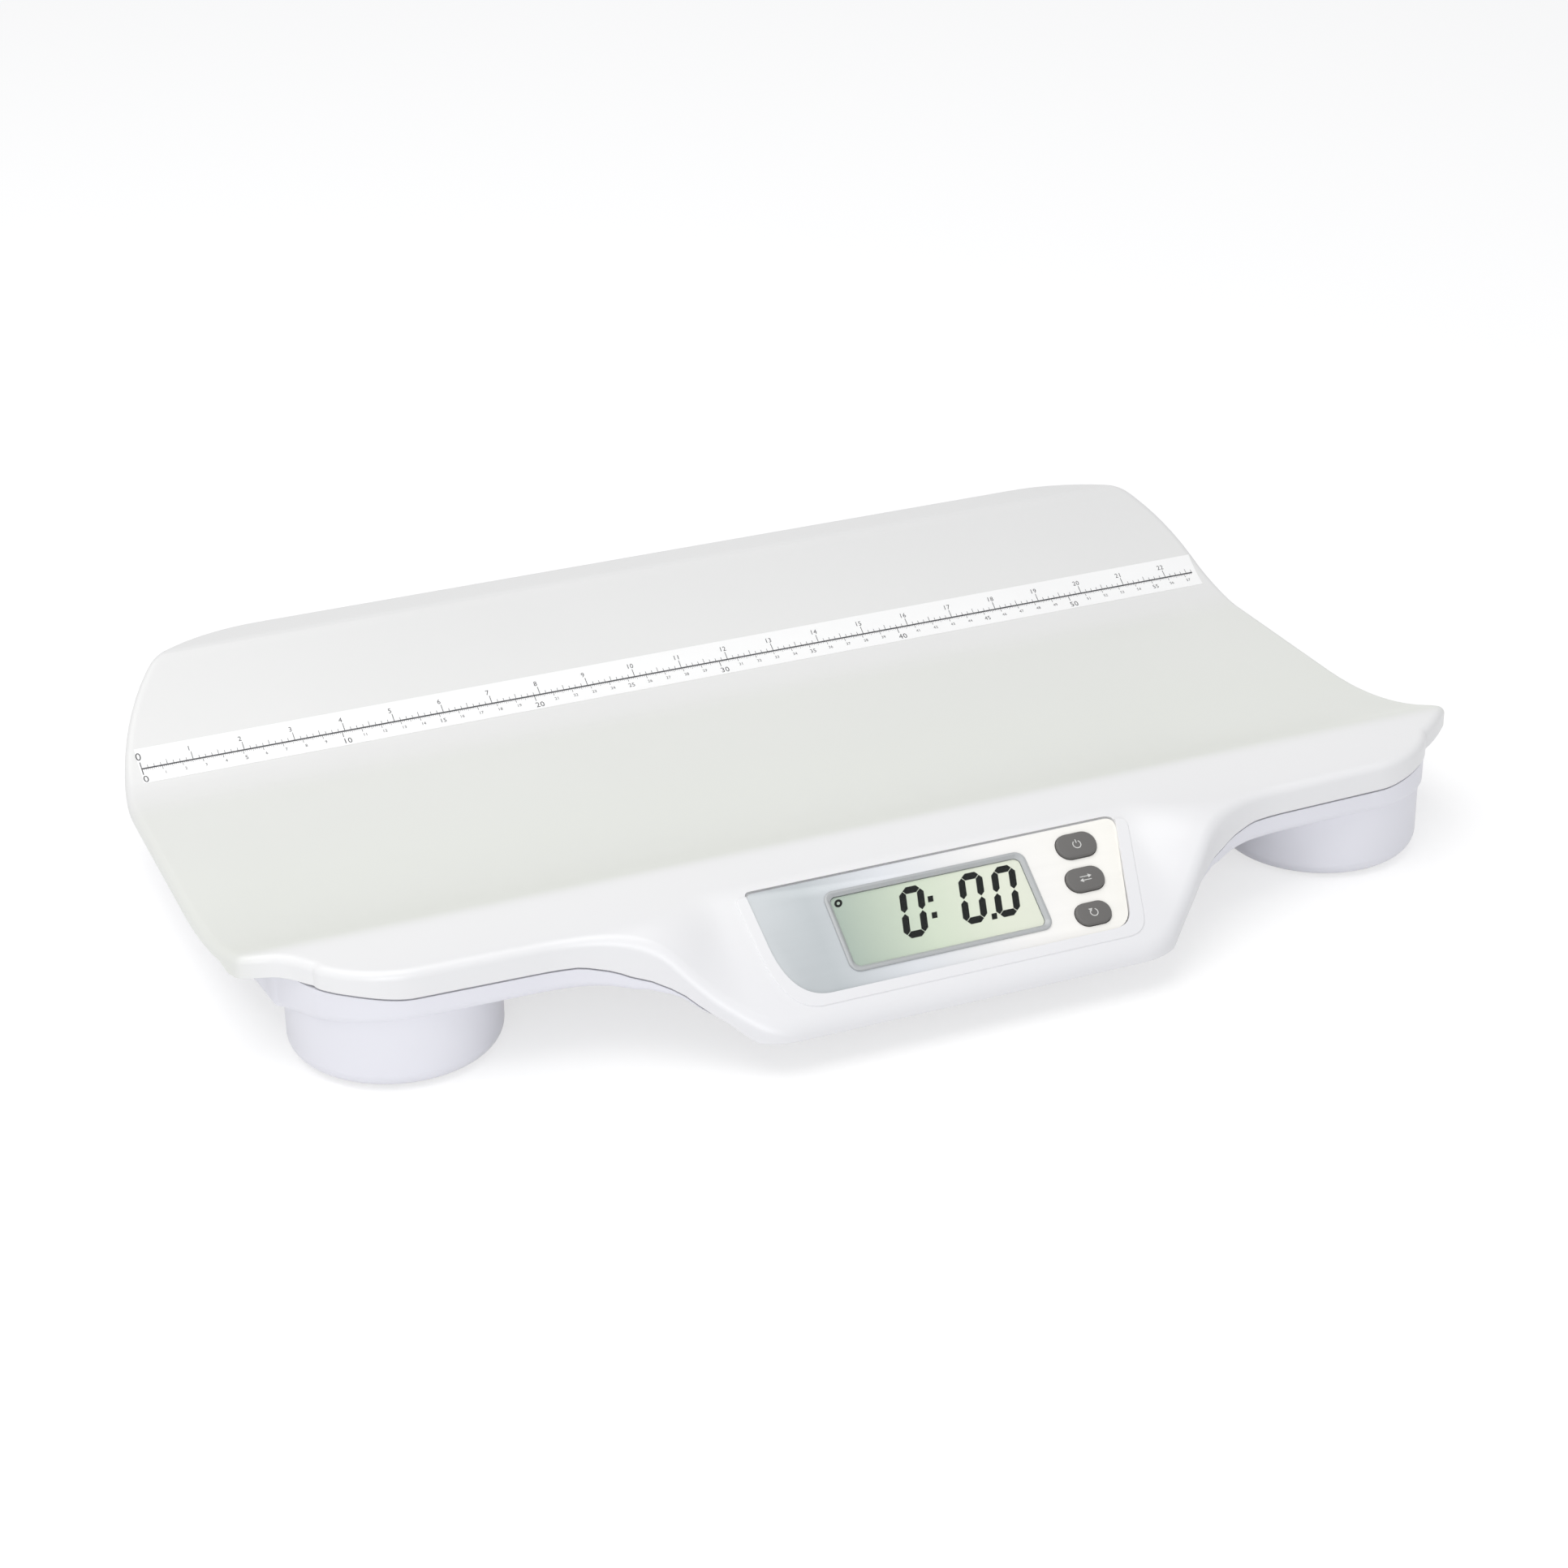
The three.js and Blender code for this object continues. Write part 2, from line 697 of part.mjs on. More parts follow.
function casingBosses() {
  return casingScrewPlaces.map(({ x, y }) => {
    const low = bossSeatZ(x, y) + gap;
    const post = rod(casingBoss.radius, x, y, low, ceilingZ(x, y) + wall / 2);
    const hole = rod(screw.bore, x, y, low - overrun, low + screw.bite + gap, 8);
    return post.subtract(hole);
  });
}

function upperCasing() {
  const shell = union([upperShell(), ...boardBosses(), ...casingBosses()]);
  return panelCuts().reduce((solid, cut) => solid.subtract(cut), shell).simplify(merge);
}

// Lower casing: a shallow hull that follows the tray, with four pedestals and the battery bay

const lowerPlan = planLoop(halfOutline(lower.endOverhang, lower.noseOverhang, coarse));

// The walls at the ends and the back lean outward from the floor to the lip
function flaredLoop(loop) {
  const tipY = tray.crestY + gap + apron.tipRadius;
  return loop.map(([x, y], k) => {
    const [px, py] = loop[(k + loop.length - 1) % loop.length];
    const [nx, ny] = loop[(k + 1) % loop.length];
    const outward = new THREE.Vector2(py - ny, nx - px).normalize();
    const toBack = Math.max(outward.y, 0);
    const toSide = Math.sqrt(1 - toBack * toBack) * Math.sign(x);
    const reach = lower.flare * ease(y, tipY - apron.tipRadius, tipY);
    return [x + reach * toSide, y + reach * toBack];
  });
}

function bossSeatZ(x, y) {
  return plateZ(x, y) + lower.wall + casingBoss.seat;
}

function hull(inset, bottomAt, topAt) {
  const skin = new Skin();
  const loop = insetLoop(lowerPlan, inset);
  const edge = flaredLoop(loop);
  skin.sheet(loopRows(lowerPlan, edge), topAt, false);
  skin.band(liftLoop(edge, topAt), liftLoop(loop, bottomAt), false);
  skin.sheet(loopRows(lowerPlan, loop), bottomAt, true);
  return toSolid(skin.geometry());
}

function pedestalBody(x, y) {
  const r = pedestal.bottomRadius;
  const f = pedestal.fillet;
  const profile = [[0, pedestal.lift]];
  for (let k = 0; k <= pedestal.filletSteps; k += 1) {
    const angle = (90 * degree * k) / pedestal.filletSteps;
    profile.push([r - f + f * Math.sin(angle), pedestal.lift + f * (1 - Math.cos(angle))]);
  }
  profile.push([pedestal.topRadius, pedestal.topZ]);
  profile.push([pedestal.topRadius, tray.ledgeTop]);
  profile.push([0, tray.ledgeTop]);
  return turned(profile, x, y);
}

function pedestalHollow(x, y) {
  const low = pedestal.lift + lower.wall;
  const reach = pedestal.bottomRadius - lower.wall;
  const profile = [
    [0, low],
    [reach - pedestal.fillet / 2, low],
    [reach, low + pedestal.fillet / 2],
    [pedestal.topRadius - lower.wall, pedestal.topZ],
    [pedestal.topRadius - lower.wall, tray.ledgeTop + overrun],
    [0, tray.ledgeTop + overrun],
  ];
  const cup = rod(pedestal.pocketRadius + lower.wall, x, y, 0, pedestal.seatZ + lower.wall, 24);
  return turned(profile, x, y).subtract(cup);
}

function pedestalCuts(x, y) {
  const pocket = rod(pedestal.pocketRadius, x, y, -overrun, pedestal.seatZ, 24);
  const near = pedestal.pocketRadius - overrun;
  const far = pedestal.pocketRadius + lower.wall + overrun;
  const [y0, y1] = y > 0 ? [y - far, y - near] : [y + near, y + far];
  const half = pedestal.leadWidth / 2;
  const top = pedestal.seatZ + lower.wall + overrun;
  return pocket.add(block(x - half, x + half, y0, y1, pedestal.seatZ - pedestal.leadHeight, top));
}

// What the upper casing takes up, with a gap round it: a ring round the lip and a slab over the ceiling
function upperRegion() {
  const roof = tray.ledgeTop + overrun;
  const ring = new Skin();
  const outer = insetLoop(upperPlan, -overrun);
  const inner = insetLoop(upperPlan, wall + 2 * gap);
  const lipLow = liftLoop(upperPlan.loop, (x, y) => lipZ(x, y) - lower.groove);
  const outerLow = outer.map(([x, y], k) => [x, y, lipLow[k][2]]);
  const innerLow = inner.map(([x, y], k) => [x, y, lipLow[k][2]]);
  const outerHigh = liftLoop(outer, () => roof);
  const innerHigh = liftLoop(inner, () => roof);
  ring.band(outerHigh, outerLow, false);
  ring.band(outerLow, innerLow, false);
  ring.band(innerLow, innerHigh, false);
  ring.band(innerHigh, outerHigh, false);
  const slab = new Skin();
  const edge = insetLoop(upperPlan, wall);
  const low = (x, y) => ceilingZ(x, y) - gap;
  slab.sheet(loopRows(upperPlan, edge), () => roof, false);
  slab.band(liftLoop(edge, () => roof), liftLoop(edge, low), false);
  slab.sheet(loopRows(upperPlan, edge), low, true);
  return toSolid(ring.geometry()).add(toSolid(slab.geometry()));
}

function bellyBlock(margin, low, high) {
  const halfX = railX - bay.x + rail.width + margin;
  const halfY = doorHalfY + margin;
  const radius = bay.bellyMargin;
  return roundedPlate(2 * halfX, 2 * halfY, radius, low, high, bay.x, bay.y);
}

function railPair() {
  const low = doorBottom - gap - rail.lipThickness;
  const y0 = bay.y - doorHalfY - gap - rail.stop;
  const y1 = bay.y + doorHalfY;
  const pieces = [];
  for (const side of [-1, 1]) {
    const inner = bay.x + side * (railX - bay.x);
    const outer = inner + side * rail.width;
    const edge = inner - side * rail.lip;
    pieces.push(block(Math.min(inner, outer), Math.max(inner, outer), y0, y1, low, bay.belly + gap));
    pieces.push(block(Math.min(edge, outer), Math.max(edge, outer), y0, y1, low, low + rail.lipThickness));
  }
  const halfX = railX - bay.x;
  pieces.push(block(bay.x - halfX, bay.x + halfX, y0, y0 + rail.stop, doorBottom, bay.belly + gap));
  return union(pieces);
}

function lowerCasing() {
  const outerBottom = plateZ;
  const innerBottom = (x, y) => plateZ(x, y) + lower.wall;
  const roomTop = (x, y) => topZ(x, y) + overrun;
  const bellyWall = lower.wall;
  const outer = union([
    hull(lower.setBack, outerBottom, topZ),
    ...pedestals.map(({ x, y }) => pedestalBody(x, y)),
    bellyBlock(bay.bellyMargin, bay.belly, tray.floorTop - lower.plateDepth + lower.wall),
  ]);
  const inner = union([
    hull(lower.setBack + lower.wall, innerBottom, roomTop),
    ...pedestals.map(({ x, y }) => pedestalHollow(x, y)),
    bellyBlock(bay.bellyMargin - bellyWall, bay.belly + bellyWall, tray.floorTop - wall),
  ]);
  const bayBody = block(
    bay.x - bayHalfX - bay.wall, bay.x + bayHalfX + bay.wall,
    bay.y - bayHalfY - bay.wall, bay.y + bayHalfY + bay.wall,
    bay.belly, bayRoof + bay.wall,
  );
  const bayRoom = block(
    bay.x - bayHalfX, bay.x + bayHalfX, bay.y - bayHalfY, bay.y + bayHalfY, bay.belly - overrun, bayRoof,
  );
  let solid = outer.subtract(inner);
  const seats = casingScrewPlaces.map(({ x, y }) => {
    const top = bossSeatZ(x, y);
    return rod(screw.head + casingBoss.headRoom + lower.wall, x, y, plateZ(x, y) + gap, top);
  });
  const standoffs = sensorPlaces().map(({ x, y }) => {
    return rod(sensorBoard.standoffRadius, x, y, plateZ(x, y) + gap, sensorZ() - gap, 8);
  });
  solid = union([solid, bayBody, railPair(), ...seats, ...standoffs]).subtract(bayRoom);
  for (const { x, y } of pedestals) solid = solid.subtract(pedestalCuts(x, y));
  for (const { x, y } of casingScrewPlaces) {
    const top = bossSeatZ(x, y);
    solid = solid.subtract(rod(screw.bore, x, y, plateZ(x, y) - overrun, top + overrun, 8));
    const low = plateZ(x, y) - overrun;
    solid = solid.subtract(rod(screw.head + casingBoss.headRoom, x, y, low, top - casingBoss.seat));
  }
  return solid.subtract(upperRegion()).simplify(merge);
}

// Feet and load cells

function footPad(x, y) {
  const r = foot.radius;
  return turned([
    [0, 0],
    [r - foot.bevel, 0],
    [r, foot.bevel],
    [r, foot.pad],
    [foot.studRadius, foot.pad],
    [foot.studRadius, foot.studTop],
    [0, foot.studTop],
  ], x, y, 20);
}

function cellZ0() {
  return foot.studTop + gap;
}

function loadCell(x, y) {
  const z0 = cellZ0();
  const half = cell.side / 2;
  const body = block(x - half, x + half, y - half, y + half, z0, z0 + cell.plate);
  const frame = cell.tongue / 2 + cell.slot;
  const cut = (x0, x1, y0, y1) => block(x0, x1, y0, y1, z0 - overrun, z0 + cell.plate + overrun);
  const low = y - cell.tongueReach / 2;
  const high = y + cell.tongueReach / 2;
  const left = cut(x - frame, x - cell.tongue / 2, low, high);
  const right = cut(x + cell.tongue / 2, x + frame, low, high);
  const bottom = cut(x - frame, x + frame, low, low + cell.slot);
  return body.subtract(union([left, right, bottom]));
}

function cellClip(x, y) {
  const z1 = cellZ0() - gap;
  const z0 = z1 - clip.height + gap;
  const ring = rod(clip.outer, x, y, z0, z1, 18);
  return ring.subtract(rod(clip.inner, x, y, z0 - overrun, z1 + overrun, 18));
}

// Display and buttons, in the panel's frame

function overlay() {
  const sheet = plate(panelShape(0), -panel.overlay, 0);
  const holes = buttons.map((place) => {
    const width = place.width + 2 * button.clearance;
    const height = place.height + 2 * button.clearance;
    return roundedPlate(width, height, height / 2, -panel.overlay - overrun, overrun, place.x, place.y);
  });
  const width = display.width + 2 * gap;
  const height = display.height + 2 * gap;
  const low = -panel.overlay - overrun;
  const view = roundedPlate(width, height, display.bezel, low, overrun, display.x, display.y);
  return onPanel([...holes, view].reduce((solid, hole) => solid.subtract(hole), sheet));
}

function bezel() {
  const outer = 2 * display.bezel;
  const low = level.casingBack + gap;
  const rim = roundedPlate(
    display.width + outer, display.height + outer, display.bezel + gap, gap, display.bezelProud, display.x, display.y,
  );
  const sleeve = roundedPlate(display.width, display.height, display.bezel, low, gap * 2, display.x, display.y);
  const width = display.width - display.bezel;
  const height = display.height - display.bezel;
  const view = roundedPlate(width, height, display.bezel / 2, low - overrun, overrun * 2, display.x, display.y);
  return onPanel(union([rim, sleeve]).subtract(view));
}

function lens() {
  const width = display.width - display.bezel - 2 * gap;
  const height = display.height - display.bezel - 2 * gap;
  const top = -gap;
  return onPanel(roundedPlate(width, height, display.bezel / 2, top - display.lens, top, display.x, display.y));
}

function lcdGlass() {
  const margin = 2 * display.glassMargin;
  return onPanel(block(
    display.x - (display.width + margin) / 2, display.x + (display.width + margin) / 2,
    display.y - (display.height + margin) / 2, display.y + (display.height + margin) / 2,
    level.glassBottom, level.glassTop,
  ));
}

function reflector() {
  const margin = display.reflectorMargin;
  return onPanel(block(
    display.x - display.width / 2, display.x + display.width / 2,
    display.y - display.height / 2 + margin, display.y + display.height / 2 - margin,
    level.reflectorBottom, level.reflectorTop,
  ));
}

function zebraStrip(side) {
  const inner = display.height / 2 - display.reflectorMargin + gap;
  const edges = [side * inner, side * (inner + display.zebra)].sort((a, b) => a - b);
  return onPanel(block(
    display.x - display.width / 2, display.x + display.width / 2,
    display.y + edges[0], display.y + edges[1],
    level.reflectorBottom, level.reflectorTop,
  ));
}

function displayBoard() {
  const sheet = block(board.left, board.right, board.bottom, board.top, level.boardBottom, level.boardTop);
  const holes = boardPlaces.map(({ x, y }) => {
    return rod(boardScrew.bore, x, y, level.boardBottom - overrun, level.boardTop + overrun, 8);
  });
  return onPanel(holes.reduce((solid, hole) => solid.subtract(hole), sheet));
}

function boardScrewSolid({ x, y }) {
  const low = level.boardBottom - gap;
  const head = rod(boardScrew.head, x, y, low - boardScrew.headHeight, low, 10);
  return onPanel(head.add(rod(boardScrew.radius, x, y, low - gap, low + boardScrew.bite, 6)));
}

const flangeTop = level.casingBack - gap;
const stemEnd = level.boardTop + gap + tact.body + tact.plunger + button.travel + gap;

function buttonCap(place) {
  const low = flangeTop - button.flangeThickness;
  const { x, y } = place;
  const top = button.proud;
  const body = roundedPlate(place.width, place.height, place.height / 2, low, top - gap, x, y);
  const crownWidth = place.width - 2 * gap;
  const crownHeight = place.height - 2 * gap;
  const crown = roundedPlate(crownWidth, crownHeight, place.height / 2, top - 2 * gap, top, x, y);
  const flangeWidth = place.width + 2 * button.flange;
  const flangeHeight = place.height + 2 * button.flange;
  const flange = roundedPlate(flangeWidth, flangeHeight, flangeHeight / 2, low, flangeTop, x, y);
  const pieces = [body, crown, flange];
  if (stemEnd < low) pieces.push(rod(button.stemRadius, x, y, stemEnd, low + gap, 14));
  return onPanel(union(pieces));
}

function tactSwitch({ x, y }) {
  const low = level.boardTop + gap;
  const half = tact.side / 2;
  const body = block(x - half, x + half, y - half, y + half, low, low + tact.body);
  return onPanel(body.add(rod(tact.plungerRadius, x, y, low + tact.body - gap, low + tact.body + tact.plunger, 14)));
}

function buzzerDisc() {
  const top = level.boardBottom - gap;
  return onPanel(rod(buzzer.radius, buzzer.x, buzzer.y, top - buzzer.height, top, 24));
}

// Ruler strip: a printed film that follows the back slope

function rulerRows() {
  const rows = upperPlan.loop.slice(0, upperPlan.rows).map(([, y]) => y);
  return rows.filter((y) => y > ruler.lowY - merge && y < ruler.highY + merge);
}

function rulerStrip() {
  const half = ruler.length / 2;
  const rows = rulerRows().map((y) => [[ruler.x - half, y], [ruler.x + half, y]]);
  const low = (x, y) => topZ(x, y) + ruler.lift;
  const high = (x, y) => topZ(x, y) + ruler.lift + ruler.thickness;
  const skin = new Skin();
  skin.sheet(rows, high, false);
  skin.sheet(rows, low, true);
  const loop = [
    ...rows.map((row) => row[1]),
    ...[...rows].reverse().map((row) => row[0]),
  ];
  skin.band(liftLoop(loop, high), liftLoop(loop, low), false);
  return toSolid(skin.geometry());
}

// Fasteners

function casingScrewSolid({ x, y }) {
  const seat = bossSeatZ(x, y) - casingBoss.seat - gap;
  const head = rod(screw.head, x, y, seat - screw.headHeight, seat, 10);
  const tip = bossSeatZ(x, y) + screw.bite - gap;
  return head.add(rod(screw.radius, x, y, seat - gap, tip, 6));
}

// Battery bay contents

function batteryCell(index) {
  const x = bay.x + (index - (battery.count - 1) / 2) * battery.pitch;
  const way = index % 2 === 0 ? 1 : -1;
  const half = battery.length / 2;
  const profile = [
    new THREE.Vector2(0, -half),
    new THREE.Vector2(battery.radius, -half),
    new THREE.Vector2(battery.radius, half),
    new THREE.Vector2(battery.capRadius, half),
    new THREE.Vector2(battery.capRadius, half + battery.cap),
    new THREE.Vector2(0, half + battery.cap),
  ];
  const geometry = new THREE.LatheGeometry(profile, 16);
  if (way < 0) geometry.rotateX(180 * degree);
  geometry.translate(x, bay.y, cellZ);
  return toSolid(geometry.index ? geometry : mergeVertices(geometry));
}

function contactRow(side) {
  const face = bay.y + side * (bayHalfY - gap);
  const plateInner = face - side * battery.plate;
  const halfX = bayHalfX - bay.sideRoom;
  const z0 = cellZ - battery.radius;
  const z1 = cellZ + battery.radius;
  const ys = [face, plateInner].sort((a, b) => a - b);
  const pieces = [block(bay.x - halfX, bay.x + halfX, ys[0], ys[1], z0, z1)];
  for (let index = 0; index < battery.count; index += 1) {
    const x = bay.x + (index - (battery.count - 1) / 2) * battery.pitch;
    const capHere = (index % 2 === 0 ? 1 : -1) === side;
    const cellEnd = battery.length / 2 + (capHere ? battery.cap : 0);
    const reach = bay.y + side * (cellEnd + gap);
    const radius = capHere ? battery.capRadius : battery.capRadius * 1.6;
    const geometry = new THREE.CylinderGeometry(radius, radius, Math.abs(plateInner - reach) + gap, 8);
    geometry.translate(x, (plateInner + reach + side * gap) / 2, cellZ);
    pieces.push(toSolid(geometry));
  }
  return union(pieces);
}

function batteryDoor() {
  const x0 = bay.x - doorHalfX;
  const x1 = bay.x + doorHalfX;
  const y0 = bay.y - doorHalfY;
  const y1 = bay.y + doorHalfY;
  const pieces = [block(x0, x1, y0, y1, doorBottom, doorTop)];
  for (let k = 0; k < 4; k += 1) {
    const y = y1 - door.overlap - door.gripPitch * (k + 1);
    const half = door.gripLength / 2;
    const top = doorBottom + door.grip;
    pieces.push(block(bay.x - half, bay.x + half, y, y + door.gripWidth, doorBottom - door.grip, top));
  }
  return union(pieces);
}

// Sensor board and wiring

function sensorZ() {
  return tray.floorTop - lower.plateDepth + lower.wall + sensorBoard.standoff;
}

function sensorPlaces() {
  const places = [];
  for (const sx of [-1, 1]) {
    for (const sy of [-1, 1]) {
      const x = sensorBoard.x + sx * (sensorBoard.width / 2 - sensorBoard.standoffRadius);
      const y = sensorBoard.y + sy * (sensorBoard.depth / 2 - sensorBoard.standoffRadius);
      places.push({ x, y });
    }
  }
  return places;
}

function sensorBoardSolid() {
  const { x, y, width, depth: boardDepth, thickness } = sensorBoard;
  const z = sensorZ();
  const sheet = block(x - width / 2, x + width / 2, y - boardDepth / 2, y + boardDepth / 2, z, z + thickness);
  const top = z + thickness;
  const chipBlock = block(
    x - chip.width / 2, x + chip.width / 2, y - chip.depth / 2, y + chip.depth / 2, top - gap, top + chip.height,
  );
  const plugX = x - width / 2 + ribbon.width;
  const plugY = y - boardDepth / 2 + plugBlock.depth;
  const plug = block(
    plugX - plugBlock.width / 2, plugX + plugBlock.width / 2, plugY - plugBlock.depth / 2, plugY + plugBlock.depth / 2,
    top - gap, top + plugBlock.height,
  );
  return union([sheet, chipBlock, plug]);
}

function leadZ(x, y) {
  return Math.max(shelfFloorZ(x, y) + lead.radius + lead.float, sensorDeck());
}

function sensorDeck() {
  return sensorZ() + sensorBoard.thickness + gap + lead.radius;
}

// From the pocket, up the inside of the pedestal, along the casing floor, round the battery bay
function sensorLead({ x, y }) {
  const inward = -Math.sign(y);
  const side = Math.sign(x);
  const low = cellZ0() + cell.plate / 2;
  const cupY = y + inward * (pedestal.pocketRadius + lower.wall);
  const hollowY = y + inward * (pedestal.bottomRadius - lower.wall);
  const laneY = lead.laneY - (y < 0 ? lead.lane : 0);
  const laneX = lead.laneX - (y > 0 ? lead.lane : 0);
  const padX = sensorBoard.x + side * (sensorBoard.width / 2 - lead.pad);
  const padY = sensorBoard.y - sensorBoard.depth / 2 + lead.pad + (y > 0 ? lead.lane : 0);
  const points = [
    [x, cupY - inward * lower.wall * 2, low],
    [x, cupY + inward * lead.radius, low],
    [x, cupY + inward * lead.radius * 3, low + gap],
    [x, mix(cupY, hollowY, 0.6), mix(low, leadZ(x, hollowY), 0.6)],
    [x, hollowY - inward * lead.radius, leadZ(x, hollowY) + gap],
    [x - side * lead.climb, hollowY + inward * lead.climb, leadZ(x, hollowY + inward * lead.climb)],
  ];
  if (side < 0) {
    points.push([mix(x, -lead.laneX, 0.6), mix(hollowY, laneY, 0.8), leadZ(x, mix(hollowY, laneY, 0.8))]);
    points.push([-lead.laneX, laneY, leadZ(-lead.laneX, laneY)]);
    points.push([0, laneY, leadZ(0, laneY)]);
    points.push([laneX - lead.lane, laneY, leadZ(laneX, laneY)]);
    points.push([laneX, laneY + lead.pad, leadZ(laneX, laneY)]);
  }
  points.push([padX + side * lead.pad * 2, padY, sensorDeck()]);
  points.push([padX, padY, sensorDeck()]);
  const reach = Math.abs(padX - x) + Math.abs(padY - y);
  return tube(points, lead.radius, lead.sides, Math.ceil(reach / lead.chord));
}

function ribbonCable() {
  const middle = new THREE.Vector3(0, board.bottom / 2, level.boardBottom - gap - ribbon.thickness);
  const start = middle.applyMatrix4(panelFrame);
  const x = sensorBoard.x - sensorBoard.width / 2 + ribbon.width;
  const endY = sensorBoard.y - sensorBoard.depth / 2 + plugBlock.depth / 2 - gap;
  const endZ = sensorZ() + sensorBoard.thickness + plugBlock.height / 2;
  const path = [[start.y, start.z], [start.y + ribbon.tail, start.z]];
  for (let k = 1; k <= ribbon.bends; k += 1) {
    const y = mix(start.y + ribbon.tail, endY - ribbon.tail, k / (ribbon.bends + 1));
    path.push([y, shelfFloorZ(x, y) + ribbon.float]);
  }
  path.push([endY - ribbon.tail, endZ], [endY, endZ]);
  const shape = new THREE.Shape();
  path.forEach(([y, z], k) => (k === 0 ? shape.moveTo(y, z) : shape.lineTo(y, z)));
  [...path].reverse().forEach(([y, z]) => shape.lineTo(y, z + ribbon.thickness));
  const geometry = new THREE.ExtrudeGeometry(shape, { depth: ribbon.width, bevelEnabled: false });
  geometry.rotateX(90 * degree);
  geometry.rotateZ(90 * degree);
  geometry.translate(x - ribbon.width / 2, 0, 0);
  return toSolid(geometry);
}

function batteryLeads() {
  const start = bay.x + bayHalfX + bay.wall + gap;
  const end = sensorBoard.x - sensorBoard.width / 2 + lead.pad;
  const deck = sensorDeck();
  return union([0, 1].map((k) => {
    const y = sensorBoard.y + batteryLead.spacing * k;
    const points = [
      [start, y, deck],
      [mix(start, end, 0.3), y, deck],
      [mix(start, end, 0.6), y, deck],
      [end, y, deck],
    ];
    return tube(points, batteryLead.radius, lead.sides, 3);
  }));
}

// Materials and the assembly

const finish = {
  casing: { color: 0xf1f1f3, roughness: 0.25, metalness: 0 },
  base: { color: 0xe4e4ee, roughness: 0.35, metalness: 0 },
  film: { color: 0xf6f7f5, roughness: 0.3, metalness: 0 },
  silver: { color: 0xc9cdd2, roughness: 0.35, metalness: 0.6 },
  glass: { color: 0xd9e6dc, roughness: 0.05, metalness: 0 },
  lcd: { color: 0xc3d3bd, roughness: 0.2, metalness: 0 },
  pale: { color: 0xf4f4f4, roughness: 0.5, metalness: 0 },
  key: { color: 0x57585a, roughness: 0.25, metalness: 0 },
  dark: { color: 0x202124, roughness: 0.6, metalness: 0 },
  rubber: { color: 0x2b2b2d, roughness: 0.9, metalness: 0 },
  steel: { color: 0xb5b8bb, roughness: 0.3, metalness: 1 },
  fibre: { color: 0x1f6b3a, roughness: 0.5, metalness: 0 },
  battery: { color: 0x8a8f96, roughness: 0.3, metalness: 0.7 },
  wire: { color: 0xd8d8d4, roughness: 0.5, metalness: 0 },
};

const scale = new THREE.Group();

function add(name, solid, look) {
  const mesh = new THREE.Mesh(toGeometry(solid), new THREE.MeshStandardMaterial(finish[look]));
  mesh.name = name;
  scale.add(mesh);
}

add('upper_casing', upperCasing(), 'casing');
add('lower_casing', lowerCasing(), 'base');
add('ruler_strip', rulerStrip(), 'film');
add('panel_overlay', overlay(), 'silver');
add('display_bezel', bezel(), 'silver');
add('display_lens', lens(), 'glass');
add('lcd_glass', lcdGlass(), 'lcd');
add('lcd_reflector', reflector(), 'pale');
add('zebra_strip_upper', zebraStrip(1), 'dark');
add('zebra_strip_lower', zebraStrip(-1), 'dark');
add('display_board', displayBoard(), 'fibre');
boardPlaces.forEach((place, k) => add(`board_screw_${k + 1}`, boardScrewSolid(place), 'steel'));
add('buzzer', buzzerDisc(), 'dark');
for (const place of buttons) {
  add(`button_${place.name}`, buttonCap(place), 'key');
  add(`switch_${place.name}`, tactSwitch(place), 'dark');
}
for (const place of pedestals) {
  add(`foot_pad_${place.name}`, footPad(place.x, place.y), 'rubber');
  add(`load_cell_${place.name}`, loadCell(place.x, place.y), 'steel');
  add(`cell_clip_${place.name}`, cellClip(place.x, place.y), 'pale');
  add(`sensor_lead_${place.name}`, sensorLead(place), 'wire');
}
add('sensor_board', sensorBoardSolid(), 'fibre');
add('ribbon_cable', ribbonCable(), 'wire');
add('battery_leads', batteryLeads(), 'wire');
for (let index = 0; index < battery.count; index += 1) {
  add(`battery_cell_${index + 1}`, batteryCell(index), 'battery');
}
add('battery_contacts_front', contactRow(-1), 'steel');
add('battery_contacts_back', contactRow(1), 'steel');
add('battery_door', batteryDoor(), 'base');
casingScrewPlaces.forEach((place, k) => add(`casing_screw_${k + 1}`, casingScrewSolid(place), 'steel'));

export default scale;
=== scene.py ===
# %% [markdown]
# # A digital baby weighing scale
# The real object is a long white cradle of glossy moulded plastic on four round feet, with a display panel on
# the sloping apron in front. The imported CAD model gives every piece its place. This lesson dresses it: the
# two casings are drawn again with fine steps, the display, the keys, the ruler and the feet are modelled with
# Blender's own tools, and every surface gets a finish made of nodes.
# %% Load the frame
import math

import bmesh
import bpy
from mathutils import Matrix, Vector


